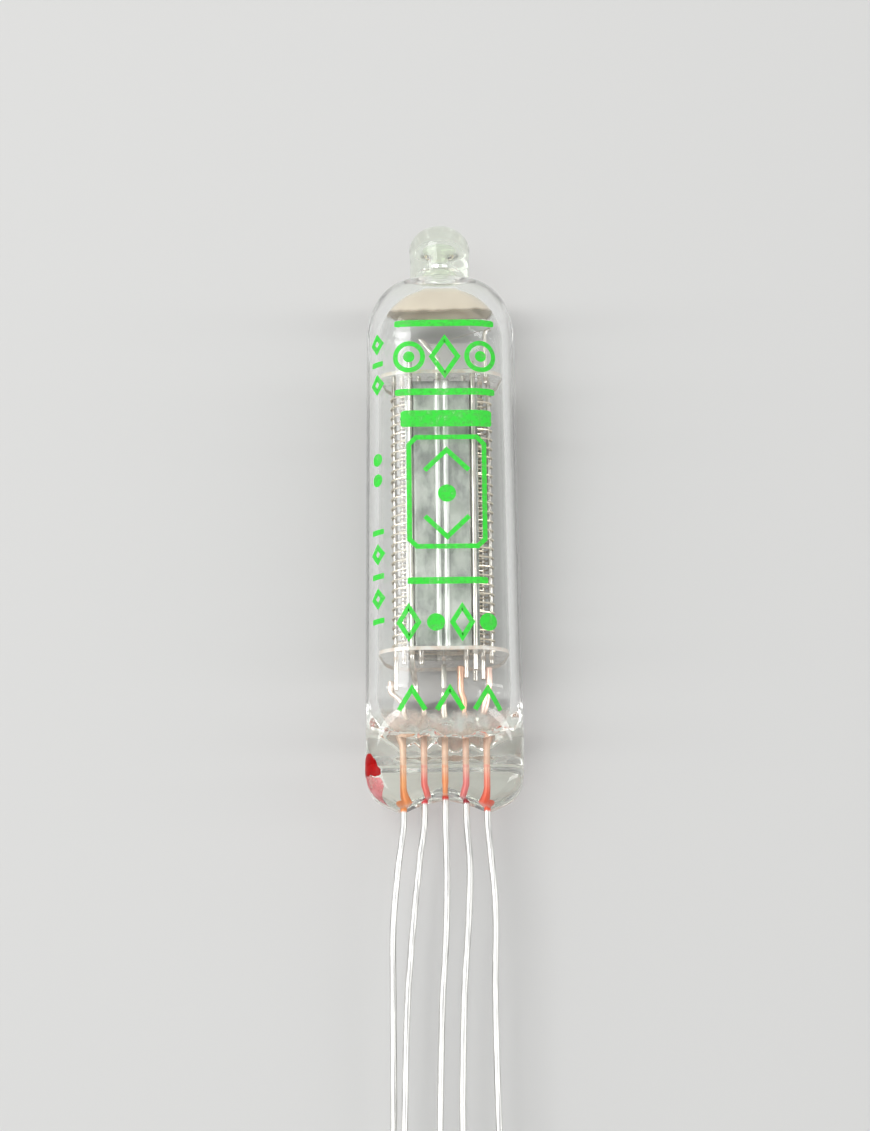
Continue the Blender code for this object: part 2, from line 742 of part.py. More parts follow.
def main():
    start_scene()
    glass = finish("clear glass", (0.93, 0.97, 0.95), 0.02, transmission=1.0)
    tinned = finish("tinned wire", (0.78, 0.78, 0.77), 0.28, metallic=1.0)
    nickel = finish("nickel wire", (0.72, 0.69, 0.64), 0.3, metallic=1.0)
    sheet = finish("plate metal", (0.45, 0.45, 0.44), 0.45, metallic=1.0)
    grid = finish("grid wire", (0.80, 0.74, 0.62), 0.3, metallic=1.0)
    mica = finish("mica", (0.82, 0.74, 0.66), 0.25, alpha=0.8)
    oxide = finish("coated filament", (0.85, 0.85, 0.82), 0.7)
    film = finish("getter film", (0.70, 0.66, 0.58), 0.15, metallic=1.0)
    paint = finish("red paint", (0.45, 0.0, 0.0), 0.35)
    make_envelope(glass)
    make_leads(tinned)
    make_rods(nickel)
    make_plate_lead_rods(nickel)
    make_windings(grid)
    make_plate("plate_front", 1, sheet)
    make_plate("plate_rear", -1, sheet)
    make_micas(mica)
    make_filament(oxide, nickel)
    make_getter(nickel, nickel, film)
    make_paint_dot(paint)


main()
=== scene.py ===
"""Looks of a subminiature vacuum tube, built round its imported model.

The tube lies on one flat side. X runs across the bulb, Y along it towards the exhaust tip, and Z is
up. Heights along the tube are measured from the end of the press. Sizes are in metres.
"""

from __future__ import annotations

import logging
import math
from dataclasses import dataclass, replace
from enum import Enum
from typing import Callable, Sequence

import bmesh
import bpy
from mathutils import Matrix, Vector, noise

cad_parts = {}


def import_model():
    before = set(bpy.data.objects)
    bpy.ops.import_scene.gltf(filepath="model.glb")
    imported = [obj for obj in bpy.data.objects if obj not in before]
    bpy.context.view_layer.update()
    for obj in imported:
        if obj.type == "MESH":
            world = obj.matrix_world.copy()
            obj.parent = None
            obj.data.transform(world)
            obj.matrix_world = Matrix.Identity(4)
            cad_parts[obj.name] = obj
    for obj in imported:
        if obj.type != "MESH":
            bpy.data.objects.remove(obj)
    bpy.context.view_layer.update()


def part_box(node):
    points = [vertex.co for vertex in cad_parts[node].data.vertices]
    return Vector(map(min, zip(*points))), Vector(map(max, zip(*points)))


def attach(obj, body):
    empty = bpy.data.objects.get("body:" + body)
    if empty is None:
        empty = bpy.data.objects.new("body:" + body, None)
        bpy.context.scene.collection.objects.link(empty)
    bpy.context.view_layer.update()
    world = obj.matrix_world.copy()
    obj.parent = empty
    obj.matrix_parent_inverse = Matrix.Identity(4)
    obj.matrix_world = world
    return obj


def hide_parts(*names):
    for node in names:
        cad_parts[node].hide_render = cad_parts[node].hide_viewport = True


LOG = logging.getLogger("vacuum_tube")
BODY = "root"
MM = 0.001
SEAM = 0.002 * MM  # points of a skin that are nearer than this become one
WIRE_SEAM = 0.001  # the same for a wire, as a share of its diameter
END_EDGE = 0.18  # how wide the edge of a wire's end is rounded, as a share of its diameter

Colour = tuple[float, float, float]


class Socket:
    """A number that a node gives, on which Python's operators add Math nodes."""

    def __init__(self, shop: "Nodes", socket: bpy.types.NodeSocket) -> None:
        """Wrap one output of a node."""
        self.shop = shop
        self.socket = socket

    def maths(self, operation: str, *others: object, first: bool = True) -> "Socket":
        """Add a Math node on this number.

        Args:
            operation: The Math node's operation.
            others: The other operands, as numbers or sockets.
            first: Whether this number is the first operand.

        Returns:
            What the node gives.
        """
        values = [self, *others] if first else [*others, self]
        return self.shop.value("ShaderNodeMath", dict(enumerate(values)), operation=operation)

    def __add__(self, other: object) -> "Socket":
        """Add."""
        return self.maths("ADD", other)

    __radd__ = __add__

    def __mul__(self, other: object) -> "Socket":
        """Multiply."""
        return self.maths("MULTIPLY", other)

    __rmul__ = __mul__

    def __sub__(self, other: object) -> "Socket":
        """Subtract."""
        return self.maths("SUBTRACT", other)

    def __rsub__(self, other: object) -> "Socket":
        """Subtract this from something."""
        return self.maths("SUBTRACT", other, first=False)

    def __abs__(self) -> "Socket":
        """Drop the sign."""
        return self.maths("ABSOLUTE")

    def larger(self, other: object) -> "Socket":
        """The larger of two numbers."""
        return self.maths("MAXIMUM", other)

    def ramp(self, low: float, high: float) -> "Socket":
        """A smooth step from 0 at low to 1 at high."""
        inputs = {"Value": self, "From Min": low, "From Max": high}
        return self.shop.value("ShaderNodeMapRange", inputs, interpolation_type="SMOOTHSTEP")


class Nodes:
    """The nodes of a material or of the world."""

    def __init__(self, owner: bpy.types.ID) -> None:
        """Start with none.

        Args:
            owner: The material or the world.
        """
        owner.use_nodes = True
        self.tree = owner.node_tree
        self.tree.nodes.clear()

    def node(self, kind: str, inputs: dict | None = None, **settings: object) -> bpy.types.Node:
        """Add a node.

        Args:
            kind: The node's type.
            inputs: A value or a link for each socket, by name or number.
            settings: Its own settings, set first.

        Returns:
            The new node.
        """
        made = self.tree.nodes.new(kind)
        for key, value in settings.items():
            setattr(made, key, value)
        for key, value in (inputs or {}).items():
            if isinstance(value, Socket):
                value = value.socket
            if isinstance(value, bpy.types.NodeSocket):
                self.tree.links.new(value, made.inputs[key])
            else:
                made.inputs[key].default_value = value
        return made

    def value(
        self, kind: str, inputs: dict | None = None, output: int | str = 0, **settings: object
    ) -> Socket:
        """Add a node and take one of its outputs."""
        return Socket(self, self.node(kind, inputs, **settings).outputs[output])


class Shader(Nodes):
    """The nodes of one material."""

    def __init__(self, name: str) -> None:
        """Start an empty material.

        Args:
            name: The material's name.
        """
        self.material = bpy.data.materials.new(name)
        super().__init__(self.material)
        where = self.node("ShaderNodeTexCoord")
        self.place = where.outputs["Object"]
        self.normal = where.outputs["Normal"]

    def axes(self, vector: bpy.types.NodeSocket | None = None) -> tuple[Socket, Socket, Socket]:
        """The three numbers of a vector, or of the place on the object if none is given."""
        made = self.node("ShaderNodeSeparateXYZ", {0: vector or self.place})
        return tuple(Socket(self, output) for output in made.outputs)

    def noise(
        self,
        size: float,
        stretch: Colour = (1.0, 1.0, 1.0),
        detail: float = 3.0,
        rough: float = 0.5,
    ) -> Socket:
        """Cloudy noise on the object.

        Args:
            size: The size of its clouds.
            stretch: How much longer they are along each axis.
            detail: The finer layers in them.
            rough: How strong the finer layers are.

        Returns:
            The noise, from 0 to 1.
        """
        scale = tuple(1.0 / (size * each) for each in stretch)
        mapped = self.node("ShaderNodeMapping", {"Vector": self.place, "Scale": scale}).outputs[0]
        layers = {"Vector": mapped, "Scale": 1.0, "Detail": detail, "Roughness": rough}
        return self.value("ShaderNodeTexNoise", layers, "Fac")

    def mix(self, share: object, first: object, second: object) -> Socket:
        """Mix two colours.

        Args:
            share: How much of the second shows.
            first: A colour or a link.
            second: A colour or a link.

        Returns:
            The mixed colour.
        """
        sides = [each if isinstance(each, Socket) else (*each, 1.0) for each in (first, second)]
        inputs = {0: share, 6: sides[0], 7: sides[1]}
        return self.value("ShaderNodeMix", inputs, 2, data_type="RGBA")

    def bump(self, height: Socket, depth: float) -> Socket:
        """A bumpy normal, from bumps of 0 to 1 that are depth metres high."""
        return self.value("ShaderNodeBump", {"Strength": 1.0, "Distance": depth, "Height": height})

    def surface(self, inputs: dict[str, object]) -> bpy.types.NodeSocket:
        """Add the Principled shader.

        Args:
            inputs: A value or a link for each socket, by name. A plain colour has three numbers.

        Returns:
            The shader.
        """
        ready = {
            key: (*value, 1.0) if isinstance(value, tuple) and len(value) == 3 else value
            for key, value in inputs.items()
        }
        return self.node("ShaderNodeBsdfPrincipled", ready).outputs[0]

    def done(self, shader: bpy.types.NodeSocket) -> bpy.types.Material:
        """Send a shader to the material's output."""
        self.node("ShaderNodeOutputMaterial", {"Surface": shader})
        return self.material

    def dressed(self, inputs: dict[str, object]) -> bpy.types.Material:
        """Finish the material with one Principled shader."""
        return self.done(self.surface(inputs))

    def done_open(self, shader: bpy.types.NodeSocket, clear: float) -> bpy.types.Material:
        """Finish a glass that lets the lamps reach what is behind it.

        Args:
            shader: The glass.
            clear: How much of the lamps' light passes one face.

        Returns:
            The finished material.
        """
        path = self.node("ShaderNodeLightPath")
        shadow = Socket(self, path.outputs["Is Shadow Ray"])
        passing = shadow.larger(path.outputs["Is Diffuse Ray"])
        side = self.node("ShaderNodeBsdfTransparent", {0: (clear, clear, clear, 1.0)}).outputs[0]
        mixed = self.node("ShaderNodeMixShader", {0: passing, 1: shader, 2: side})
        return self.done(mixed.outputs[0])


@dataclass(frozen=True)
class ClearGlass:
    """Blown glass, faintly green where it is thick and milky where it was pinched hot."""

    clear: Colour = (0.985, 0.995, 0.985)
    thick: Colour = (0.92, 0.97, 0.88)
    milky: Colour = (0.97, 0.90, 0.86)
    index: float = 1.5
    milk: float = 0.3
    ripple_size: float = 1.6 * MM
    ripple_depth: float = 0.012 * MM
    lamp_share: float = 0.96

    def material(self, bulb: "Bulb") -> bpy.types.Material:
        """Make the material.

        Args:
            bulb: The bulb that it is for.

        Returns:
            The material.
        """
        shop = Shader("clear_glass")
        _, along, _ = shop.axes()
        press = 1.0 - along.ramp(bulb.y(bulb.cavity_floor), bulb.y(bulb.seal_height))
        lumps = along.ramp(bulb.y(bulb.cavity_floor - 0.4 * MM), bulb.y(bulb.cavity_floor))
        cloud = shop.noise(0.5 * MM).ramp(0.45, 0.7)
        tip = along.ramp(bulb.y(bulb.bulb_length - 1.2 * MM), bulb.y(bulb.bulb_length + 0.4 * MM))
        tint = shop.mix(press.larger(tip), self.clear, self.thick)
        tint = shop.mix(press * lumps * cloud, tint, self.milky)
        ripple = shop.noise(self.ripple_size, stretch=(1.0, 4.0, 1.0), detail=1.0)
        glass = shop.surface({
            "Base Color": tint,
            "Roughness": 0.0,
            "IOR": self.index,
            "Transmission Weight": 1.0,
            "Sheen Weight": self.milk,
            "Sheen Roughness": 0.3,
            "Normal": shop.bump(ripple, self.ripple_depth),
        })
        return shop.done_open(glass, self.lamp_share)


@dataclass(frozen=True)
class MilkySeal:
    """The milky, faintly pink skin of the glass round the leads."""

    pink: Colour = (0.98, 0.81, 0.75)
    white: Colour = (0.99, 0.98, 0.97)

    def material(self, bulb: "Bulb") -> bpy.types.Material:
        """Make the material.

        Args:
            bulb: The bulb that it is in.

        Returns:
            The material.
        """
        shop = Shader("milky_seal")
        _, along, _ = shop.axes()
        cloud = shop.noise(0.8 * MM, detail=3.0, rough=0.5)
        patch = shop.noise(1.3 * MM, detail=2.0)
        level = along + (patch - 0.5) * 1.4 * MM
        floor = bulb.y(bulb.cavity_floor)
        fade = 1.0 - level.ramp(floor + 0.9 * MM, floor + 1.6 * MM)
        return shop.dressed({
            "Base Color": shop.mix(patch.ramp(0.4, 0.62), self.pink, self.white),
            "Roughness": 0.12 + 0.25 * cloud,
            "Alpha": fade * (0.28 + 0.6 * cloud.ramp(0.4, 0.62)),
            "Normal": shop.bump(cloud, 0.05 * MM),
        })


@dataclass(frozen=True)
class LeadWire:
    """Tinned wire, coloured by its glass seal in the press and bare copper-red inside the bulb,
    with dull streaks along the tin that are partly drawing marks and partly painted dark reflection
    lines.
    """

    number: int
    place: float
    seal: Colour
    middle: Colour
    inner: Colour
    tin: Colour = (0.76, 0.76, 0.735)
    dull: Colour = (0.47, 0.47, 0.46)
    pale: Colour = (0.95, 0.70, 0.55)

    def material(self, bulb: "Bulb") -> bpy.types.Material:
        """Make the material.

        Args:
            bulb: The bulb that it is sealed in.

        Returns:
            The material.
        """
        shop = Shader(f"lead_wire_{self.number}")
        _, along, _ = shop.axes()
        drawn = shop.noise(0.25 * MM, stretch=(1.0, 6.0, 1.0))
        leaves = bulb.arch_rise(self.place)
        sealed = along.ramp(bulb.y(leaves - 0.25 * MM), bulb.y(leaves - 0.05 * MM))
        deep = along + (drawn - 0.5) * 0.5 * MM
        lighter = deep.ramp(bulb.y(0.7 * MM), bulb.y(1.3 * MM))
        paler = deep.ramp(bulb.y(1.3 * MM), bulb.y(2.8 * MM))
        above = along.ramp(bulb.y(bulb.cavity_floor), bulb.y(bulb.cavity_floor + 0.8 * MM))
        # dull streaks along the tin: partly marks of the wire's drawing, partly painted dark
        # reflection lines of a round shiny wire
        streak_and_painted_reflection = shop.noise(0.09 * MM, stretch=(1.0, 40.0, 1.0), detail=2.0)
        tin = shop.mix(streak_and_painted_reflection.ramp(0.42, 0.68), self.tin, self.dull)
        colour = shop.mix(sealed, tin, self.seal)
        colour = shop.mix(sealed * lighter, colour, self.middle)
        colour = shop.mix(paler * (0.75 + 0.25 * drawn), colour, self.pale)
        colour = shop.mix(above, colour, self.inner)
        glassy = sealed * (1.0 - above)
        return shop.dressed({
            "Base Color": colour,
            "Metallic": 1.0 - 0.85 * glassy,
            "Roughness": 0.30 + 0.2 * drawn,
            "Normal": shop.bump(drawn, 0.012 * MM),
        })


@dataclass(frozen=True)
class BrightMetal:
    """Drawn or rolled nickel with a fine grain along it."""

    name: str
    colour: Colour
    dull: Colour
    roughness: float = 0.25
    grain: float = 0.2 * MM
    depth: float = 0.004 * MM

    def material(self) -> bpy.types.Material:
        """Make the material."""
        shop = Shader(self.name)
        grain = shop.noise(self.grain, stretch=(1.0, 8.0, 1.0))
        return shop.dressed({
            "Base Color": shop.mix(grain.ramp(0.35, 0.7), self.colour, self.dull),
            "Metallic": 1.0,
            "Roughness": self.roughness + 0.15 * grain,
            "Normal": shop.bump(grain, self.depth),
        })


@dataclass(frozen=True)
class PlateSheet:
    """The plate's pressed sheet: matt grey, mottled by its heat treatment, with a painted highlight
    along its beads.
    """

    light: Colour = (0.52, 0.54, 0.50)
    dark: Colour = (0.20, 0.215, 0.20)
    # near-white colour of the painted highlight along each bead
    bright: Colour = (0.86, 0.87, 0.84)
    bead_place: float = 0.25 * MM
    bead_core: float = 0.08 * MM
    bead_half: float = 0.2 * MM

    def material(self) -> bpy.types.Material:
        """Make the material."""
        shop = Shader("plate_sheet")
        blotch = shop.noise(1.1 * MM, stretch=(1.0, 2.2, 1.0), detail=4.0, rough=0.6)
        fine = shop.noise(0.16 * MM)
        mottle = blotch.ramp(0.35, 0.68) * 0.8 + fine * 0.25
        across, _, _ = shop.axes()
        # painted highlight: the colour turns near-white along each bead, where light would catch
        # the ridge
        bead = 1.0 - abs(abs(across) - self.bead_place).ramp(self.bead_core, self.bead_half)
        sheet = shop.mix(mottle, self.light, self.dark)
        return shop.dressed({
            "Base Color": shop.mix(bead * (1.0 - 0.4 * mottle), sheet, self.bright),
            "Metallic": 0.75,
            "Roughness": 0.38 + 0.2 * fine,
            "Normal": shop.bump(fine, 0.008 * MM),
        })


@dataclass(frozen=True)
class MicaSheet:
    """Cleaved mica: cream, pearly and half clear, with flakes in its layers."""

    cream: Colour = (0.88, 0.74, 0.62)
    pale: Colour = (0.97, 0.93, 0.87)
    alpha: float = 0.14

    def material(self) -> bpy.types.Material:
        """Make the material."""
        shop = Shader("mica_sheet")
        flake = shop.noise(0.7 * MM, detail=5.0, rough=0.65)
        layer = shop.noise(0.06 * MM, stretch=(14.0, 0.5, 14.0))
        _, facing, _ = shop.axes(shop.normal)
        rim = 1.0 - abs(facing).ramp(0.5, 0.9)
        return shop.dressed({
            "Base Color": shop.mix(flake.ramp(0.35, 0.65), self.cream, self.pale),
            "Roughness": 0.12 + 0.25 * layer,
            "Alpha": rim.larger(self.alpha + 0.25 * flake.ramp(0.5, 0.65)),
            "Coat Weight": 0.5,
            "Normal": shop.bump(layer, 0.006 * MM),
        })


@dataclass(frozen=True)
class OxideCoat:
    """The filament's white oxide coating."""

    colour: Colour = (0.88, 0.88, 0.84)

    def material(self) -> bpy.types.Material:
        """Make the material."""
        shop = Shader("oxide_coat")
        grain = shop.noise(0.03 * MM)
        return shop.dressed({
            "Base Color": shop.mix(grain, self.colour, tuple(0.85 * each for each in self.colour)),
            "Roughness": 0.8,
            "Normal": shop.bump(grain, 0.006 * MM),
        })


@dataclass(frozen=True)
class GetterFilm:
    """The getter's silvery film, thin and brown towards its lower edge; its pale cream colour,
    shown with little metal shine, is partly a painted reflection of the pale surroundings.
    """

    # pale cream: partly the film's own colour, partly the mirror's reflection painted in as colour
    silver_and_painted_reflection: Colour = (0.90, 0.80, 0.64)
    brown: Colour = (0.55, 0.44, 0.33)

    def material(self, low: float, full: float, slope: float, axis: float) -> bpy.types.Material:
        """Make the material.

        Args:
            low: The place along Y where the film starts.
            full: The place along Y where it is thick.
            slope: How much further along it starts at the back, for each metre down.
            axis: The place along Z of the tube's axis.

        Returns:
            The material.
        """
        shop = Shader("getter_film")
        _, along, up = shop.axes()
        wander = shop.noise(1.2 * MM, detail=2.0)
        level = along + (up - axis) * slope + (wander - 0.5) * 0.5 * MM
        cover = level.ramp(low, full)
        patch = shop.noise(0.9 * MM, detail=3.0)
        return shop.dressed({
            "Base Color": shop.mix(cover * (0.75 + 0.4 * patch), self.brown, self.silver_and_painted_reflection),
            "Metallic": 0.35,
            "Roughness": 0.16 + 0.14 * patch,
            "Alpha": cover,
        })


@dataclass(frozen=True)
class Paint:
    """A glossy paint, thicker in some places than in others."""

    name: str
    colour: Colour
    deep: Colour
    cloud: float = 0.35 * MM
    roughness: float = 0.3
    shine: float = 0.5
    cover: float = 1.0
    thin: float = 0.0

    def material(self) -> bpy.types.Material:
        """Make the material."""
        shop = Shader(self.name)
        cloud = shop.noise(self.cloud, detail=4.0, rough=0.6)
        return shop.dressed({
            "Base Color": shop.mix(cloud.ramp(0.35, 0.7), self.colour, self.deep),
            "Roughness": self.roughness + 0.15 * cloud,
            "Specular IOR Level": self.shine,
            "Alpha": self.cover - self.thin * cloud.ramp(0.42, 0.68),
            "Normal": shop.bump(cloud, 0.006 * MM),
        })


@dataclass(frozen=True)
class PaleFloor:
    """A plain pale floor."""

    colour: Colour = (0.74, 0.74, 0.73)

    def material(self) -> bpy.types.Material:
        """Make the material."""
        shop = Shader("pale_floor")
        return shop.dressed({"Base Color": self.colour, "Roughness": 0.9})


@dataclass(frozen=True)
class Section:
    """A rounded oblong across the tube."""

    height: float
    width: float
    depth: float
    corner: float

    @classmethod
    def circle(cls, height: float, radius: float) -> "Section":
        """A round section."""
        return cls(height, radius, radius, radius)

    def towards(self, other: "Section", share: float) -> "Section":
        """A section between this one, at share 0, and another, at share 1."""
        return Section(
            between(self.height, other.height, share), between(self.width, other.width, share),
            between(self.depth, other.depth, share), between(self.corner, other.corner, share),
        )

    def rings(self, other: "Section", steps: int) -> list["Section"]:
        """The sections between this one and another, at even steps."""
        return [self.towards(other, step / steps) for step in range(1, steps)]

    def rounded_in(self, rise: float, end: float, steps: int = 22) -> list["Section"]:
        """A shoulder from this section in to a circle.

        Args:
            rise: How far it rises.
            end: The circle's radius.
            steps: The number of steps.

        Returns:
            The sections, this one first.
        """
        made = []
        for angle in quarter(steps):
            near = math.cos(angle)
            deep = between(end, self.depth, near)
            made.append(Section(
                self.height + rise * math.sin(angle), between(end, self.width, near),
                deep, min(between(end, self.corner, near), deep),
            ))
        return made

    def point(self, angle: float, across: float) -> tuple[float, float]:
        """A point of the outline.

        Args:
            angle: The way that the outline faces there.
            across: Its place along the flat side, from 1 at the right corner to -1 at the left.

        Returns:
            The place across the tube and up from its axis.
        """
        x = across * (self.width - self.corner) + self.corner * math.cos(angle)
        z = math.copysign(self.depth - self.corner, math.sin(angle)) + self.corner * math.sin(angle)
        return x, z

    def around(self, travel: float) -> tuple[Vector, Vector]:
        """A point of the front, by its way round from the middle.

        Args:
            travel: The way round from the middle of the front, to the right if positive.

        Returns:
            The point and the outward normal, across the tube and up from its axis.
        """
        side = math.copysign(1.0, travel)
        rest = abs(travel) - (self.width - self.corner)
        if rest <= 0:
            return Vector((travel, self.depth)), Vector((0.0, 1.0))
        turn = min(rest / self.corner, math.pi / 2)
        below = max(rest - self.corner * math.pi / 2, 0.0)
        normal = Vector((side * math.sin(turn), math.cos(turn)))
        centre = Vector((side * (self.width - self.corner), self.depth - self.corner - below))
        return centre + normal * self.corner, normal


def stations(sides: int, flat: int) -> list[tuple[float, float]]:
    """Where the points of an outline stand.

    Args:
        sides: The number of points in its four round corners.
        flat: The number of points along each flat side.

    Returns:
        For each point the way that the outline faces there, and its place along the flat side.
    """
    made = []
    for number in range(sides):
        angle = (number + 0.5) * math.tau / sides
        if number in (sides // 4, sides * 3 // 4):
            side = 1.0 if number < sides // 2 else -1.0
            middle = math.pi * (1.0 - side / 2)
            for step in range(1, flat + 1):
                made.append((middle, side * (1.0 - 2.0 * step / (flat + 1))))
        made.append((angle, math.copysign(1.0, math.cos(angle))))
    return made


def quarter(steps: int) -> list[float]:
    """Even steps of an angle from 0 to 90 degrees, in radians."""
    return [math.pi / 2 * step / steps for step in range(steps + 1)]


def eased(share: float) -> float:
    """A smooth step from 0 to 1, level at both ends."""
    return share * share * (3.0 - 2.0 * share)


def between(low: float, high: float, share: float) -> float:
    """The number that lies a share of the way from low to high."""
    return low + (high - low) * share


def deselect() -> None:
    """Leave nothing selected."""
    bpy.ops.object.select_all(action="DESELECT")


def only(piece: bpy.types.Object) -> None:
    """Select one piece and make it active."""
    deselect()
    piece.select_set(True)
    bpy.context.view_layer.objects.active = piece


def settle(piece: bpy.types.Object, name: str, smooth: float = 40.0) -> bpy.types.Object:
    """Put a piece's place in its mesh and shade it.

    Args:
        piece: The piece.
        name: Its name.
        smooth: The angle, in degrees, above which an edge stays sharp.

    Returns:
        The piece.
    """
    only(piece)
    bpy.ops.object.transform_apply(location=True, rotation=True, scale=True)
    bpy.ops.object.shade_smooth_by_angle(angle=math.radians(smooth))
    piece.name = piece.data.name = name
    return piece


def joined(pieces: Sequence[bpy.types.Object]) -> bpy.types.Object:
    """Join pieces into one.

    Args:
        pieces: The pieces.

    Returns:
        What they become.
    """
    only(pieces[0])
    for piece in pieces[1:]:
        piece.select_set(True)
    bpy.ops.object.join()
    return bpy.context.object


def show(
    piece: bpy.types.Object,
    material: bpy.types.Material,
    nodes: Sequence[str] = (),
) -> bpy.types.Object:
    """Dress a finished piece and put it in the frame.

    Args:
        piece: The piece.
        material: Its material.
        nodes: The nodes that it stands for.

    Returns:
        The piece.
    """
    piece.data.materials.clear()
    piece.data.materials.append(material)
    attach(piece, BODY)
    if nodes:
        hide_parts(*nodes)
    LOG.info("%s: %d faces", piece.name, len(piece.data.polygons))
    return piece


def closed_up(merge: float, inward: bool = False) -> bpy.types.Object:
    """Merge the active piece's doubles and turn its faces one way.

    Args:
        merge: How near doubles are, or 0 to leave them.
        inward: Whether the faces look in.

    Returns:
        The piece.
    """
    bpy.ops.object.mode_set(mode="EDIT")
    bpy.ops.mesh.select_all(action="SELECT")
    if merge:
        bpy.ops.mesh.remove_doubles(threshold=merge)
    bpy.ops.mesh.normals_make_consistent(inside=inward)
    bpy.ops.object.mode_set(mode="OBJECT")
    return bpy.context.object


def thickened(
    piece: bpy.types.Object, thickness: float, offset: float, edge: float = 0.0, angle: float = 60.0
) -> bpy.types.Object:
    """Give a flat piece its thickness, and round its edges if asked.

    Args:
        piece: The flat piece.
        thickness: Its thickness.
        offset: Where the thickness goes: 1 in front, -1 behind and 0 to both sides.
        edge: How wide its edges are rounded.
        angle: The angle, in degrees, above which an edge is rounded.

    Returns:
        The piece.
    """
    solid = piece.modifiers.new("sheet", "SOLIDIFY")
    solid.thickness = thickness
    solid.offset = offset
    if edge:
        bevel = piece.modifiers.new("edge", "BEVEL")
        bevel.width = edge
        bevel.segments = 2
        bevel.limit_method = "ANGLE"
        bevel.angle_limit = math.radians(angle)
    only(piece)
    for modifier in list(piece.modifiers):
        bpy.ops.object.modifier_apply(modifier=modifier.name)
    return piece


def lofted(
    bulb: "Bulb",
    sections: Sequence[Section],
    sides: int,
    flat: int = 0,
    moved: Callable[[Vector], Vector] | None = None,
    inward: bool = False,
    closed: bool = True,
) -> bpy.types.Object:
    """A skin through rounded oblongs, extruded from a circle ring by ring.

    Args:
        bulb: The bulb that gives the sections their place.
        sections: The sections, from the lead end on.
        sides: The number of points in a ring's round corners.
        flat: The number of points along each of its flat sides.
        moved: Moves each point from where its section puts it.
        inward: Whether the faces look in.
        closed: Whether the ends close in a seam or a pole.

    Returns:
        The skin.
    """
    deselect()
    stands = stations(sides, flat)
    bpy.ops.mesh.primitive_circle_add(vertices=len(stands), radius=1.0)
    piece = bpy.context.object
    bpy.ops.object.mode_set(mode="EDIT")
    mesh = bmesh.from_edit_mesh(piece.data)
    layer = mesh.verts.layers.int.new("side")
    for number, vertex in enumerate(mesh.verts):
        vertex[layer] = number
    bmesh.update_edit_mesh(piece.data)
    for number, section in enumerate(sections):
        if number:
            bpy.ops.mesh.extrude_region_move()
        mesh = bmesh.from_edit_mesh(piece.data)
        layer = mesh.verts.layers.int["side"]
        for vertex in mesh.verts:
            if vertex.select:
                x, z = section.point(*stands[vertex[layer]])
                place = bulb.at(x, section.height, z)
                vertex.co = moved(place) if moved else place
        bmesh.update_edit_mesh(piece.data)
    return closed_up(SEAM if closed else 0.0, inward)


def new_curve(**settings: object) -> bpy.types.Object:
    """Start a curve without a line.

    Args:
        settings: The curve's own settings.

    Returns:
        The curve's object.
    """
    deselect()
    bpy.ops.curve.primitive_nurbs_path_add()
    curve = bpy.context.object.data
    curve.splines.clear()
    for key, value in settings.items():
        setattr(curve, key, value)
    return bpy.context.object


def trace(
    curve: bpy.types.Curve, stops: Sequence[tuple[Sequence[float], float]], closed: bool = False
) -> None:
    """Add a line to a curve.

    Args:
        curve: The curve.
        stops: Each point with its share of the radius.
        closed: Whether the line comes round to its start.
    """
    spline = curve.splines.new("POLY")
    spline.points.add(len(stops) - 1)
    for target, (place, radius) in zip(spline.points, stops):
        target.co = (*place, 1.0)
        target.radius = radius
    spline.use_cyclic_u = closed


def tube(
    points: Sequence[Vector], diameter: float, detail: int = 4, round_ends: bool = True
) -> bpy.types.Object:
    """A round wire through points.

    Args:
        points: The points of its middle line.
        diameter: Its diameter.
        detail: The wire has 4 sides and twice this many more.
        round_ends: Whether its ends are rounded over.

    Returns:
        The wire, as a mesh.
    """
    piece = new_curve(bevel_depth=diameter / 2, bevel_resolution=detail, use_fill_caps=True)
    stops = [(point, 1.0) for point in points]
    if round_ends:
        stops = rounded_end(points[1], points[0], diameter)[::-1] + stops[1:-1]
        stops += rounded_end(points[-2], points[-1], diameter)
    trace(piece.data, stops)
    bpy.ops.object.convert(target="MESH")
    return closed_up(diameter * WIRE_SEAM)


def rounded_end(before: Vector, end: Vector, diameter: float) -> list[tuple[Vector, float]]:
    """The last points of a wire, whose edge is rounded over.

    Args:
        before: A point of the wire before its end.
        end: Its end.
        diameter: Its diameter.

    Returns:
        Each point with its share of the radius.
    """
    edge = diameter * END_EDGE
    way = (end - before).normalized()
    start = end - way * edge
    return [
        (start + way * edge * math.sin(angle), 1.0 - 2 * END_EDGE * (1.0 - math.cos(angle)))
        for angle in quarter(4)
    ]


def wire_end(name: str, top: bool, reach: float) -> tuple[float, float, float]:
    """Where a wire's end is, from its node.

    Args:
        name: The wire's node.
        top: Whether it is the end towards the tip.
        reach: How much of the wire is looked at.

    Returns:
        The end's middle along X and along Z, and half its width.
    """
    low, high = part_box(name)
    near = [
        vertex.co for vertex in bpy.data.objects[name].data.vertices
        if (vertex.co.y > high.y - reach if top else vertex.co.y < low.y + reach)
    ]
    left, right = min(each.x for each in near), max(each.x for each in near)
    under, over = min(each.z for each in near), max(each.z for each in near)
    return (left + right) / 2, (under + over) / 2, (right - left) / 2


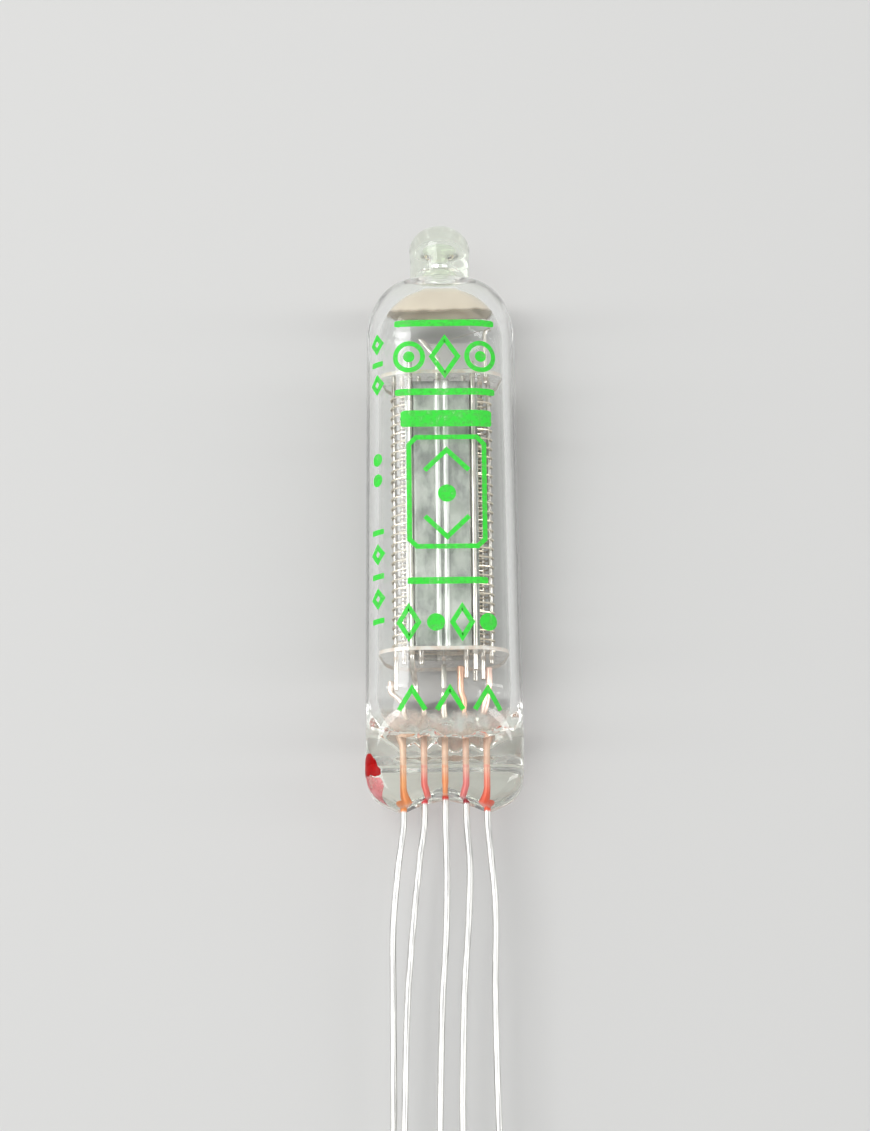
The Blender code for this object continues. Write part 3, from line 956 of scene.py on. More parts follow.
@dataclass(frozen=True)
class Bulb:
    """The glass bulb's sizes, and where it lies."""

    half_width: float
    half_depth: float
    press_end: float
    axis: float
    length: float
    corner: float = 2.9 * MM
    wall: float = 0.75 * MM
    bulb_length: float = 33.15 * MM
    taper: float = 0.25 * MM
    shoulder_rise: float = 3.9 * MM
    shoulder_wall: float = 0.45 * MM
    neck_radius: float = 1.87 * MM
    neck_waist: float = 0.05 * MM
    neck_foot: float = 0.28 * MM
    dome_height: float = 1.6 * MM
    hollow_radius: float = 1.0 * MM
    press_depth: float = 3.5 * MM
    press_corner: float = 2.0 * MM
    press_edge: float = 0.8 * MM
    press_round: float = 1.1 * MM
    press_flat: float = 0.05 * MM
    mark_depth: float = 0.15 * MM
    mark_width: float = 0.25 * MM
    press_arch: float = 0.6 * MM
    arch_half: float = 2.9 * MM
    foot_place: float = 2.7 * MM
    foot_half: float = 1.0 * MM
    foot_drop: float = 0.16 * MM
    seal_rise: float = 3.7 * MM
    seal_curve: float = 0.8
    seal_start: float = math.radians(18)
    seal_thick: float = 1.8 * MM
    cavity_rise: float = 3.1 * MM
    floor_share: float = 0.72
    floor_depth: float = 0.3 * MM
    hollow: tuple[tuple[float, float], ...] = (
        (0.2, 0.94), (0.5, 0.95), (0.85, 1.02), (1.15, 0.96), (1.4, 0.72), (1.6, 0.50),
        (1.78, 0.48), (1.95, 0.62), (2.15, 0.86), (2.4, 1.0), (2.65, 1.02), (2.85, 0.94),
        (3.0, 0.76), (3.08, 0.50), (3.11, 0.24), (3.12, 0.0),
    )

    @classmethod
    def from_frame(cls) -> "Bulb":
        """Take the bulb's place and outer sizes from its node."""
        low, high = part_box("glass_envelope")
        return cls(
            half_width=(high.x - low.x) / 2,
            half_depth=(high.z - low.z) / 2,
            press_end=low.y,
            axis=(high.z + low.z) / 2,
            length=high.y - low.y,
        )

    @property
    def mark_low(self) -> float:
        """The height of the lower edge of the jaws' mark."""
        return self.press_corner + self.press_flat

    @property
    def mark_height(self) -> float:
        """The height of the bottom of the jaws' mark."""
        return self.mark_low + self.mark_width

    @property
    def seal_height(self) -> float:
        """The height at which the bulb has its full depth."""
        return self.mark_height + self.seal_rise

    @property
    def shoulder_height(self) -> float:
        """The height at which the shoulder starts."""
        return self.bulb_length - self.shoulder_rise

    @property
    def cavity_floor(self) -> float:
        """The height of the floor of the hollow."""
        return self.mark_height + self.seal_thick

    def y(self, height: float) -> float:
        """The place along Y of a height from the end of the press."""
        return self.press_end + height

    def at(self, x: float, height: float, z: float) -> Vector:
        """A point of the tube.

        Args:
            x: The place across.
            height: The height from the end of the press.
            z: How far up from the axis.

        Returns:
            The point in the frame.
        """
        return Vector((x, self.y(height), self.axis + z))

    def arch_rise(self, x: float) -> float:
        """How far the end of the press is drawn in.

        Args:
            x: The place across.

        Returns:
            The height of its edge.
        """
        arch = 1.0 - eased(min(abs(x) / self.arch_half, 1.0))
        foot = 1.0 - eased(min(abs(abs(x) - self.foot_place) / self.foot_half, 1.0))
        return self.press_arch * arch - self.foot_drop * foot

    def press_sections(self) -> list[Section]:
        """The press: its flat end, closed in a seam, its round corners and the jaws' mark."""
        made = []
        end_width = self.half_width - self.press_corner
        end_depth = self.press_depth / 2 - self.press_edge
        for step in range(5):
            depth = end_depth * step / 5
            width = end_width - end_depth + depth
            made.append(Section(0.0, width, depth, min(self.press_round, depth)))
        for angle in quarter(20):
            height = self.press_corner * (1 - math.cos(angle))
            width = self.half_width - self.press_corner * (1 - math.sin(angle))
            depth = self.press_depth / 2
            if height < self.press_edge:
                run = self.press_edge - height
                depth -= self.press_edge - math.sqrt(self.press_edge**2 - run**2)
            made.append(Section(height, width, depth, min(self.press_round, depth)))
        for step in range(5):
            share = step / 4
            depth = self.press_depth / 2 - self.mark_depth * eased(share)
            height = between(self.mark_low, self.mark_height, share)
            made.append(Section(height, self.half_width, depth, self.press_round))
        return made

    def seal_section(self, angle: float) -> Section:
        """A section of the seal, where the bulb swells from the press.

        Args:
            angle: From 0 at the press to 90 degrees at the full bulb.

        Returns:
            The section.
        """
        grown = math.sin(angle)
        depth = self.press_depth / 2 + (self.half_depth - self.press_depth / 2) * grown
        corner = self.press_round + (self.corner - self.press_round) * grown
        height = self.mark_height + self.seal_rise * (1 - math.cos(angle)) ** self.seal_curve
        return Section(height, self.half_width, depth, min(corner, depth))

    def seal_sections(self) -> list[Section]:
        """The swelling above the jaws' mark."""
        first = self.seal_section(self.seal_start)
        low = self.press_depth / 2 - self.mark_depth
        made = Section(self.mark_height, self.half_width, low, self.press_round).rings(first, 5)
        for step in range(25):
            made.append(self.seal_section(between(self.seal_start, math.pi / 2, step / 24)))
        return made

    def tip_sections(self) -> list[Section]:
        """The exhaust tip: a fillet, a neck with a faint waist, and a dome closed in a pole."""
        made = []
        for angle in quarter(5)[1:]:
            radius = self.neck_radius + self.neck_foot * (1 - math.sin(angle))
            height = self.bulb_length + self.neck_foot * (1 - math.cos(angle))
            made.append(Section.circle(height, radius))
        foot = made[-1].height
        dome = self.length - self.dome_height
        for step in range(1, 8):
            share = step / 8
            radius = self.neck_radius - self.neck_waist * math.sin(math.pi * share)
            made.append(Section.circle(between(foot, dome, share), radius))
        for angle in quarter(16):
            radius = self.neck_radius * math.cos(angle)
            made.append(Section.circle(dome + self.dome_height * math.sin(angle), radius))
        return made

    def outer_sections(self) -> list[Section]:
        """The outside of the glass."""
        corner = min(self.corner, self.half_depth)
        start = Section(self.shoulder_height, self.half_width - self.taper, self.half_depth, corner)
        shoulder = start.rounded_in(self.shoulder_rise, self.neck_radius + self.neck_foot)
        seal = self.seal_sections()
        wall = seal[-1].rings(shoulder[0], 24)
        return self.press_sections() + seal + wall + shoulder + self.tip_sections()

    def outside(self, travel: float, height: float, out: float) -> Vector:
        """A place on the front of the glass, with the jaws' mark filled.

        Args:
            travel: The way round from the middle of the front, to the right if positive.
            height: The height from the end of the press.
            out: How far it stands off the glass.

        Returns:
            The place in the frame.
        """
        sections = self.outer_sections()
        above = next(number for number, each in enumerate(sections) if each.height > height)
        low, high = sections[above - 1], sections[above]
        share = (height - low.height) / (high.height - low.height)
        ring = low.towards(high, share)
        filled = min(self.press_depth / 2, high.depth + self.mark_depth)
        ring = replace(ring, depth=max(ring.depth, filled))
        place, normal = ring.around(travel)
        place = place + normal * out
        return self.at(place.x, height, place.y)

    def inner_shoulder(self, inset: float, steps: int) -> list[Section]:
        """The inside of the shoulder, moved in.

        Args:
            inset: How far it is moved in.
            steps: The number of steps.

        Returns:
            The sections.
        """
        depth = self.half_depth - self.wall - inset
        width = self.half_width - self.taper - self.wall - inset
        corner = min(self.corner - self.wall - inset, depth)
        start = Section(self.shoulder_height, width, depth, corner)
        rise = self.shoulder_rise - self.shoulder_wall - inset
        return start.rounded_in(rise, self.hollow_radius, steps)

    def floor_sections(self) -> list[Section]:
        """The wedge at the foot of the hollow, closed in a seam."""
        depth = self.half_depth - self.wall
        width = self.half_width - self.wall
        corner = self.corner - self.wall
        made = []
        for step in range(4):
            deep = self.floor_depth * step / 4
            wide = width * self.floor_share - self.floor_depth + deep
            made.append(Section(self.cavity_floor, wide, deep, deep))
        for angle in quarter(22):
            grown = math.sin(angle)
            deep = self.floor_depth + (depth - self.floor_depth) * grown
            wide = width * (self.floor_share + (1 - self.floor_share) * grown)
            height = self.cavity_floor + self.cavity_rise * (1 - math.cos(angle))
            made.append(Section(height, wide, deep, min(corner, deep)))
        return made

    def cavity_sections(self) -> list[Section]:
        """The hollow: its wedge floor, its wall, its shoulder and the hollow in the neck."""
        made = self.floor_sections()
        shoulder = self.inner_shoulder(0.0, 22)
        made += made[-1].rings(shoulder[0], 24) + shoulder
        return made + self.hollow_sections(shoulder[-1].height)

    def hollow_sections(self, base: float) -> list[Section]:
        """The sealed pipe's hollow in the neck, from base on: a waist under a small bubble."""
        return [Section.circle(base + rise * MM, radius * MM) for rise, radius in self.hollow]


@dataclass
class GlassEnvelope:
    """The blown glass: its outside, and the hollow inside it."""

    bulb: Bulb
    lead_places: Sequence[float]
    outer_sides: int = 144
    outer_flat: int = 31
    inner_sides: int = 120
    inner_flat: int = 47
    mound_height: float = 1.05 * MM
    mound_radius: float = 0.62 * MM
    mound_reach: float = 2.8 * MM
    lump_height: float = 0.2 * MM
    lump_size: float = 0.75 * MM
    frost_gap: float = 0.02 * MM
    frost_height: float = 2.3 * MM

    def arched(self, place: Vector) -> Vector:
        """Draw the end of the press in between its corners.

        Args:
            place: A point of the outside.

        Returns:
            The moved point.
        """
        height = place.y - self.bulb.press_end
        reach = self.bulb.press_corner
        if height >= reach:
            return place
        lift = self.bulb.arch_rise(place.x) * (1.0 - eased(height / reach))
        return place + Vector((0.0, lift, 0.0))

    def lumped(self, place: Vector) -> Vector:
        """Raise the floor of the hollow in a mound round each lead, with lumps between them.

        Args:
            place: A point of the hollow.

        Returns:
            The moved point.
        """
        height = place.y - self.bulb.press_end
        above = height - self.bulb.cavity_floor
        if above > self.mound_reach:
            return place
        fade = 1.0 - eased(max(above, 0.0) / self.mound_reach)
        off = (place.z - self.bulb.axis) ** 2
        lift = sum(
            self.mound_height * math.exp(-((place.x - x) ** 2 + off) / self.mound_radius**2)
            for x in self.lead_places
        )
        lump = noise.noise(place / self.lump_size) * self.lump_height
        return place + Vector((0.0, (lift + lump) * fade, 0.0))

    def build(self, finish: ClearGlass) -> None:
        """Build the glass and show it.

        Args:
            finish: The glass's finish.
        """
        outside = lofted(
            self.bulb, self.bulb.outer_sections(), self.outer_sides, self.outer_flat, self.arched
        )
        hollow = lofted(
            self.bulb, self.bulb.cavity_sections(), self.inner_sides, self.inner_flat, self.lumped,
            inward=True,
        )
        glass = settle(joined([outside, hollow]), "bulb_glass", smooth=60.0)
        show(glass, finish.material(self.bulb), ["glass_envelope"])
        self.add_frost()

    def add_frost(self) -> None:
        """Add the milky skin of the glass that was pinched hot round the leads."""
        low, gap = self.bulb.cavity_floor, self.frost_gap
        sections = []
        for each in self.bulb.floor_sections():
            if each.depth > 2 * gap and each.height < low + self.frost_height:
                deep = each.depth - gap
                corner = min(each.corner, deep)
                sections.append(Section(each.height + gap, each.width - gap, deep, corner))
        frost = lofted(
            self.bulb, sections, self.inner_sides, self.inner_flat, self.lumped, closed=False
        )
        frost = settle(thickened(frost, gap / 2, offset=-1.0), "milky_seal", 60.0)
        show(frost, MilkySeal().material(self.bulb))


@dataclass
class Leads:
    """The five leads: straight through the press, bent outside it and inside the bulb."""

    bulb: Bulb
    diameter: float = 0.4 * MM
    pitch: float = 1.27 * MM
    straight: float = 0.6 * MM
    foot: float = 1.6 * MM
    steps_outside: int = 60
    steps_inside: int = 14
    end_reach: float = 0.1 * MM
    ends: tuple[float, ...] = (0.7 * MM, 0.6 * MM, 0.6 * MM, 1.6 * MM, 0.9 * MM)
    seals: tuple[Colour, ...] = (
        (0.93, 0.30, 0.08), (0.72, 0.04, 0.05), (0.68, 0.04, 0.02), (0.33, 0.0, 0.01),
        (0.88, 0.09, 0.03),
    )
    middles: tuple[Colour, ...] = (
        (0.95, 0.40, 0.14), (0.85, 0.16, 0.14), (0.92, 0.30, 0.10), (0.82, 0.20, 0.20),
        (0.90, 0.22, 0.15),
    )
    inners: tuple[Colour, ...] = (
        (0.86, 0.74, 0.66), (0.86, 0.72, 0.62), (0.84, 0.74, 0.66), (0.80, 0.50, 0.36),
        (0.86, 0.62, 0.54),
    )
    bends: tuple[tuple[tuple[float, float, float], ...], ...] = (
        ((3.8, -0.38, 0.0), (7.4, -0.70, -0.1), (12.0, -0.73, -0.1), (20.5, -0.80, -0.2),
         (34.0, -1.40, -0.3)),
        ((2.9, -0.29, 0.0), (6.5, -0.68, 0.1), (12.0, -1.14, 0.2), (20.5, -1.40, 0.3),
         (35.0, -1.60, 0.5)),
        ((4.8, 0.04, 0.0), (8.5, -0.08, -0.1), (12.0, -0.31, -0.1), (20.5, -0.55, 0.0),
         (33.0, -0.70, 0.0)),
        ((3.4, 0.17, 0.0), (6.5, 0.08, 0.1), (12.0, -0.27, 0.15), (20.5, -0.45, 0.2),
         (34.5, -0.30, 0.2)),
        ((2.9, 0.17, 0.0), (5.9, 0.41, -0.1), (12.0, 0.34, -0.15), (20.5, 0.50, -0.3),
         (33.5, 1.10, -0.4)),
    )

    @property
    def places(self) -> list[float]:
        """The place across of each lead in the press."""
        middle = (len(self.bends) - 1) / 2
        return [(number - middle) * self.pitch for number in range(len(self.bends))]

    @staticmethod
    def along(stops: Sequence[tuple[float, float]], where: float) -> float:
        """The value on a smooth line through stops, level at the first.

        Args:
            stops: Each place with its value.
            where: The place.

        Returns:
            The value there.
        """
        slopes = [0.0]
        for before, after in zip(stops, stops[2:]):
            slopes.append((after[1] - before[1]) / (after[0] - before[0]))
        slopes.append((stops[-1][1] - stops[-2][1]) / (stops[-1][0] - stops[-2][0]))
        number = 0
        while number < len(stops) - 2 and where > stops[number + 1][0]:
            number += 1
        low, high = stops[number], stops[number + 1]
        run = high[0] - low[0]
        share = (where - low[0]) / run
        bend = slopes[number] * run * (share**3 - 2 * share**2 + share)
        bend += slopes[number + 1] * run * (share**3 - share**2)
        return between(low[1], high[1], eased(share)) + bend

    def points(self, number: int) -> list[Vector]:
        """A lead's middle line, from its free end to its end inside.

        Args:
            number: The lead's number, from 0.

        Returns:
            The points.
        """
        x = self.places[number]
        stops = [(self.straight, 0.0, 0.0)] + [
            (down * MM, side * MM, up * MM) for down, side, up in self.bends[number]
        ]
        across = [(down, side) for down, side, _ in stops]
        upward = [(down, up) for down, _, up in stops]
        length = stops[-1][0]
        made = []
        for step in range(self.steps_outside, 0, -1):
            down = between(self.straight, length, step / self.steps_outside)
            made.append(self.bulb.at(x + self.along(across, down), -down, self.along(upward, down)))
        made.append(self.bulb.at(x, -self.straight, 0.0))
        foot = self.bulb.cavity_floor + self.foot
        name = f"lead_{number + 1}"
        end_x, _, _ = wire_end(name, True, self.end_reach)
        end_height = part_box(name)[1].y - self.bulb.press_end
        bent = end_height - self.ends[number] - foot
        for step in range(self.steps_inside + 1):
            share = step / self.steps_inside
            made.append(self.bulb.at(between(x, end_x, eased(share)), foot + bent * share, 0.0))
        made.append(self.bulb.at(end_x, end_height, 0.0))
        return made

    def build(self) -> None:
        """Build each lead and show it."""
        for number, seal in enumerate(self.seals):
            name = f"lead_{number + 1}"
            wire = settle(tube(self.points(number), self.diameter, detail=6), f"wire_{name}")
            finish = LeadWire(
                number + 1, self.places[number], seal, self.middles[number], self.inners[number]
            )
            show(wire, finish.material(self.bulb), [name])


@dataclass
class Rods:
    """The straight rods that hold the grids and the plate."""

    finish: BrightMetal
    straight: tuple[str, ...] = (
        "suppressor_rod_left", "suppressor_rod_right", "screen_rod_left", "screen_rod_right",
        "control_rod_left", "control_rod_right", "plate_rod_front_right", "plate_rod_rear_right",
    )

    def build(self) -> None:
        """Build each rod from its node's place and show it."""
        metal = self.finish.material()
        for name in self.straight:
            low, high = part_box(name)
            middle = (low + high) / 2
            start = Vector((middle.x, low.y, middle.z))
            end = Vector((middle.x, high.y, middle.z))
            rod = settle(tube([start, end], high.x - low.x, detail=8), f"bright_{name}")
            show(rod, metal, [name])


@dataclass
class PlateLeadRods:
    """The left plate rods, whose feet close in on the second lead."""

    bulb: Bulb
    diameter: float = 0.3 * MM
    bend: float = 0.35 * MM
    knee: float = 0.25 * MM

    def build(self, metal: bpy.types.Material) -> None:
        """Build both rods from their nodes' places and show them.

        Args:
            metal: Their material.
        """
        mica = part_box("bottom_mica")[0].y
        for name, side in (("plate_rod_front_left", 1.0), ("plate_rod_rear_left", -1.0)):
            low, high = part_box(name)
            radius = self.diameter / 2
            straight_x = low.x + radius
            foot_x = high.x - radius
            far = high.z - radius if side > 0 else low.z + radius
            near = low.z + radius if side > 0 else high.z - radius
            knee = mica - self.knee
            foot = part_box("lead_2")[1].y + self.diameter
            ends = [
                Vector((straight_x, high.y, far)), Vector((straight_x, knee, far)),
                Vector((foot_x, foot, near)), Vector((foot_x, low.y + radius, near)),
            ]
            rod = settle(tube(softened(ends, self.bend), self.diameter, detail=6), f"bright_{name}")
            show(rod, metal, [name])


def softened(ends: Sequence[Vector], bend: float, steps: int = 6) -> list[Vector]:
    """A line through points with its inner corners rounded.

    Args:
        ends: The line's corners.
        bend: How far from a corner its round starts.
        steps: The number of steps in a round.

    Returns:
        The points.
    """
    made = [ends[0]]
    for before, corner, after in zip(ends, ends[1:], ends[2:]):
        start = corner + (before - corner).normalized() * min(bend, (before - corner).length / 2)
        end = corner + (after - corner).normalized() * min(bend, (after - corner).length / 2)
        for step in range(steps + 1):
            share = step / steps
            made.append(start.lerp(corner, share).lerp(corner.lerp(end, share), share))
    made.append(ends[-1])
    return made


@dataclass
class Winding:
    """One grid's wire, wound on its two rods as a flattened oval."""

    name: str
    wire: float
    pitch: float
    sides: int
    detail: int

    def build(self, bulb: Bulb, metal: bpy.types.Material) -> None:
        """Wind the wire over its node's place and show it.

        Args:
            bulb: The bulb that it stands in.
            metal: The wire's material.
        """
        low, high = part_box(self.name)
        reach = Vector(((high.x - low.x - self.wire) / 2, 0.0, (high.z - low.z - self.wire) / 2))
        span = high.y - low.y - self.wire
        turns = round(span / self.pitch)
        points = []
        for step in range(turns * self.sides + 1):
            angle = -(step + 0.5) * math.tau / self.sides
            points.append(Vector((
                reach.x * math.cos(angle),
                low.y + self.wire / 2 + span * step / (turns * self.sides),
                bulb.axis + reach.z * math.sin(angle),
            )))
        wound = settle(tube(points, self.wire, self.detail, round_ends=False), f"fine_{self.name}")
        show(wound, metal, [self.name])


@dataclass
class Plates:
    """The two pressed halves of the plate."""

    bulb: Bulb
    half_width: float = 2.2 * MM
    edge: float = 0.55 * MM
    step: float = 0.32 * MM
    bead_height: float = 0.14 * MM
    bead_place: float = 0.25 * MM
    bead_half: float = 0.2 * MM
    sheet: float = 0.12 * MM
    fold: float = 0.12 * MM
    sheet_edge: float = 0.02 * MM
    columns: int = 110
    rows: int = 60

    def rise(self, x: float) -> float:
        """How far the sheet stands out at a place across.

        Args:
            x: The place across.

        Returns:
            The rise from its face, negative at the stepped edges.
        """
        across = abs(x)
        off = abs(across - self.bead_place) / self.bead_half
        bead = self.bead_height * eased(1.0 - off) ** 0.6 if off < 1.0 else 0.0
        fold = (across - (self.half_width - self.edge)) / self.fold
        return bead - self.step * eased(min(max(fold, 0.0), 1.0))

    def build(self, finish: PlateSheet) -> None:
        """Press both halves from a flat grid and show them.

        Args:
            finish: The plate's finish.
        """
        metal = finish.material()
        for name, side in (("plate_front", 1.0), ("plate_rear", -1.0)):
            low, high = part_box(name)
            face = (high.z if side > 0 else low.z) - side * (self.bead_height + self.sheet / 2)
            deselect()
            bpy.ops.mesh.primitive_grid_add(
                x_subdivisions=self.columns, y_subdivisions=self.rows, size=1.0,
                location=(0.0, (low.y + high.y) / 2, face),
            )
            sheet = bpy.context.object
            sheet.scale = (2 * self.half_width, high.y - low.y, 1.0)
            settle(sheet, f"pressed_{name}")
            for vertex in sheet.data.vertices:
                vertex.co.z += side * self.rise(vertex.co.x)
            thickened(sheet, self.sheet, offset=0.0, edge=self.sheet_edge)
            show(settle(sheet, f"pressed_{name}"), metal, [name])


@dataclass
class Micas:
    """The two mica spacers, punched for the rods and for what stands on them."""

    bulb: Bulb
    corner: float = 2.1 * MM
    clearance: float = 0.02 * MM
    sides: int = 96
    hole_sides: int = 20
    least_hole: float = 0.12 * MM
    end_reach: float = 0.2 * MM
    bent: tuple[str, ...] = ("plate_rod_front_left", "plate_rod_rear_left")
    wires: tuple[str, ...] = Rods.straight + bent + ("filament", "getter_support_wire")
    edge: float = 0.02 * MM

    def holes(self, low: Vector, high: Vector) -> list[list[tuple[float, float]]]:
        """The holes for the rods that pass through a spacer, and the filament's.

        Args:
            low: The spacer's lowest corner.
            high: Its highest corner.

        Returns:
            The outline of each hole.
        """
        made = []
        for name in self.wires:
            start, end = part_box(name)
            if start.y > low.y or end.y < high.y:
                continue
            x, z, half = wire_end(name, name in self.bent, self.end_reach)
            radius = max(half + self.clearance, self.least_hole)
            made.append([
                (x + radius * math.cos(angle), z + radius * math.sin(angle))
                for angle in (math.tau * step / self.hole_sides for step in range(self.hole_sides))
            ])
        return made

    def build(self, finish: MicaSheet) -> None:
        """Punch both spacers and show them.

        Args:
            finish: Their finish.
        """
        sheet = finish.material()
        for name in ("top_mica", "bottom_mica"):
            low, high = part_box(name)
            outline = Section(0.0, (high.x - low.x) / 2, (high.z - low.z) / 2, self.corner)
            piece = new_curve(
                dimensions="2D", fill_mode="BOTH", extrude=(high.y - low.y) / 2 - self.edge,
                bevel_depth=self.edge, bevel_resolution=1, offset=-self.edge,
            )
            points = [outline.point(*stand) for stand in stations(self.sides, 0)]
            rim = [(x, z + self.bulb.axis) for x, z in points]
            for ring in [rim, *self.holes(low, high)]:
                trace(piece.data, [((x, z, 0.0), 1.0) for x, z in ring], closed=True)
            piece.location.y = (low.y + high.y) / 2
            piece.rotation_euler = (math.pi / 2, 0.0, 0.0)
            bpy.ops.object.convert(target="MESH")
            show(settle(bpy.context.object, f"punched_{name}", smooth=30.0), sheet, [name])


@dataclass
class Strips:
    """The thin strips: the filament's spring and tab, and the getter's strip."""

    thickness: float = 0.08 * MM
    bend: float = 0.12 * MM
    edge: float = 0.015 * MM
    spring_bow: float = 0.55
    tab_straight: float = 0.81 * MM
    tab_slope_end: float = 1.3 * MM
    getter_width: float = 0.35 * MM
    getter_knee: float = 1.2 * MM

    def strip(self, name: str, path: Sequence[Vector], across: Vector) -> bpy.types.Object:
        """A flat strip that follows a path.

        Args:
            name: Its name.
            path: The corners of its middle line.
            across: Its width.

        Returns:
            The strip.
        """
        points = softened(path, self.bend, steps=5)
        deselect()
        bpy.ops.mesh.primitive_plane_add(size=1.0)
        piece = bpy.context.object
        mesh = bmesh.new()
        rows = [[mesh.verts.new(place + across * half) for half in (-0.5, 0.5)] for place in points]
        for first, second in zip(rows, rows[1:]):
            mesh.faces.new((first[0], first[1], second[1], second[0]))
        mesh.to_mesh(piece.data)
        mesh.free()
        thickened(piece, self.thickness, offset=0.0, edge=self.edge, angle=50.0)
        return settle(piece, name)

    def build(self, bulb: Bulb, metal: bpy.types.Material) -> None:
        """Bend each strip over its node's place and show it.

        Args:
            bulb: The bulb that they are in.
            metal: Their material.
        """
        half = self.thickness / 2
        low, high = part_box("filament_spring")
        rod = high.x - half
        bow = low.y + half
        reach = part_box("suppressor_rod_right")[0].x
        spring = [
            Vector((rod, high.y, bulb.axis)), Vector((rod, bow + 2 * self.thickness, bulb.axis)),
            Vector((reach * self.spring_bow, bow + self.thickness, bulb.axis)),
            Vector((0.0, bow, bulb.axis)), Vector((low.x, bow, bulb.axis)),
        ]
        width = Vector((0.0, 0.0, high.z - low.z))
        bent = self.strip("bent_filament_spring", spring, width)
        show(bent, metal, ["filament_spring"])
        low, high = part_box("filament_tab")
        back, front = low.z + half, high.z - half
        tab = [
            Vector((0.0, low.y, front)), Vector((0.0, low.y + self.tab_straight, front)),
            Vector((0.0, low.y + self.tab_slope_end, back)), Vector((0.0, high.y, back)),
        ]
        width = Vector((high.x - low.x, 0.0, 0.0))
        show(self.strip("bent_filament_tab", tab, width), metal, ["filament_tab"])
        low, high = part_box("getter_strip")
        face = (low.z + high.z) / 2
        wide = Vector((self.getter_width, 0.0, 0.0))
        foot = high.x - wide.x / 2
        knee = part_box("top_mica")[1].y + self.getter_knee
        getter = [
            Vector((foot, low.y, face)), Vector((foot, knee, face)),
            Vector((low.x + wide.x / 2, high.y, face)),
        ]
        show(self.strip("bent_getter_strip", getter, wide), metal, ["getter_strip"])


@dataclass
class FineWires:
    """The filament, the getter's hooked support and the thin wire that ties it to the strip."""

    bulb: Bulb
    hook: float = 0.4 * MM
    tie: float = 0.05 * MM
    tie_side: float = 0.05 * MM
    tie_hold: float = 0.5 * MM

    def build(self, oxide: bpy.types.Material, metal: bpy.types.Material) -> None:
        """Draw each wire and show it.

        Args:
            oxide: The filament's coating.
            metal: The other wires' metal.
        """
        low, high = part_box("filament")
        ends = [Vector((0.0, y, self.bulb.axis)) for y in (low.y, high.y)]
        strand = settle(tube(ends, high.x - low.x, detail=3), "coated_filament")
        show(strand, oxide, ["filament"])
        low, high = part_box("getter_support_wire")
        diameter = high.z - low.z
        middle, top = (low.z + high.z) / 2, high.y - diameter / 2
        foot_x = low.x + diameter / 2
        points = [Vector((foot_x, low.y, middle))]
        for angle in quarter(10):
            x = foot_x + self.hook * (1 - math.cos(angle))
            points.append(Vector((x, top - self.hook * (1 - math.sin(angle)), middle)))
        wire = settle(tube(points, diameter, detail=6), "bright_getter_support_wire")
        show(wire, metal, ["getter_support_wire"])
        low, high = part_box("getter_strip")
        front = middle + self.tie_side
        held = Vector((low.x + self.tie_hold, high.y - self.tie_hold, front))
        tied = Vector((foot_x, top - self.tie_side, front))
        show(settle(tube([held, tied], self.tie, 2), "getter_tie"), metal)


@dataclass
class Getter:
    """The mirror that the flashed getter left on the inside of the shoulder."""

    bulb: Bulb
    gap: float = 0.02 * MM
    thickness: float = 0.03 * MM
    sides: int = 96
    steps: int = 40
    edge_height: float = 31.1 * MM
    slope: float = 0.214
    fade: float = 0.25 * MM

    def build(self, finish: GetterFilm) -> None:
        """Build the film and show it.

        Args:
            finish: Its finish.
        """
        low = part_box("getter_mirror")[0].y - self.bulb.press_end
        shoulder = self.bulb.inner_shoulder(self.gap, self.steps)
        sections = [each for each in shoulder if each.height >= low]
        film = lofted(self.bulb, sections, self.sides, closed=False)
        thickened(film, self.thickness, offset=-1.0)
        start = self.bulb.y(self.edge_height)
        material = finish.material(start, start + self.fade, self.slope, self.bulb.axis)
        show(settle(film, "flashed_getter_mirror"), material, ["getter_mirror"])


def wrapped(piece: bpy.types.Object, bulb: Bulb, out: float, thickness: float) -> bpy.types.Object:
    """Lay a flat piece, drawn as travel across and height up, on the front of the glass.

    Args:
        piece: The flat piece, with X for its travel and Y for its height.
        bulb: The bulb.
        out: How far it stands off the glass.
        thickness: Its thickness.

    Returns:
        The piece, with a thickness.
    """
    for vertex in piece.data.vertices:
        vertex.co = bulb.outside(vertex.co.x, vertex.co.y, out)
    return thickened(piece, thickness, offset=1.0)


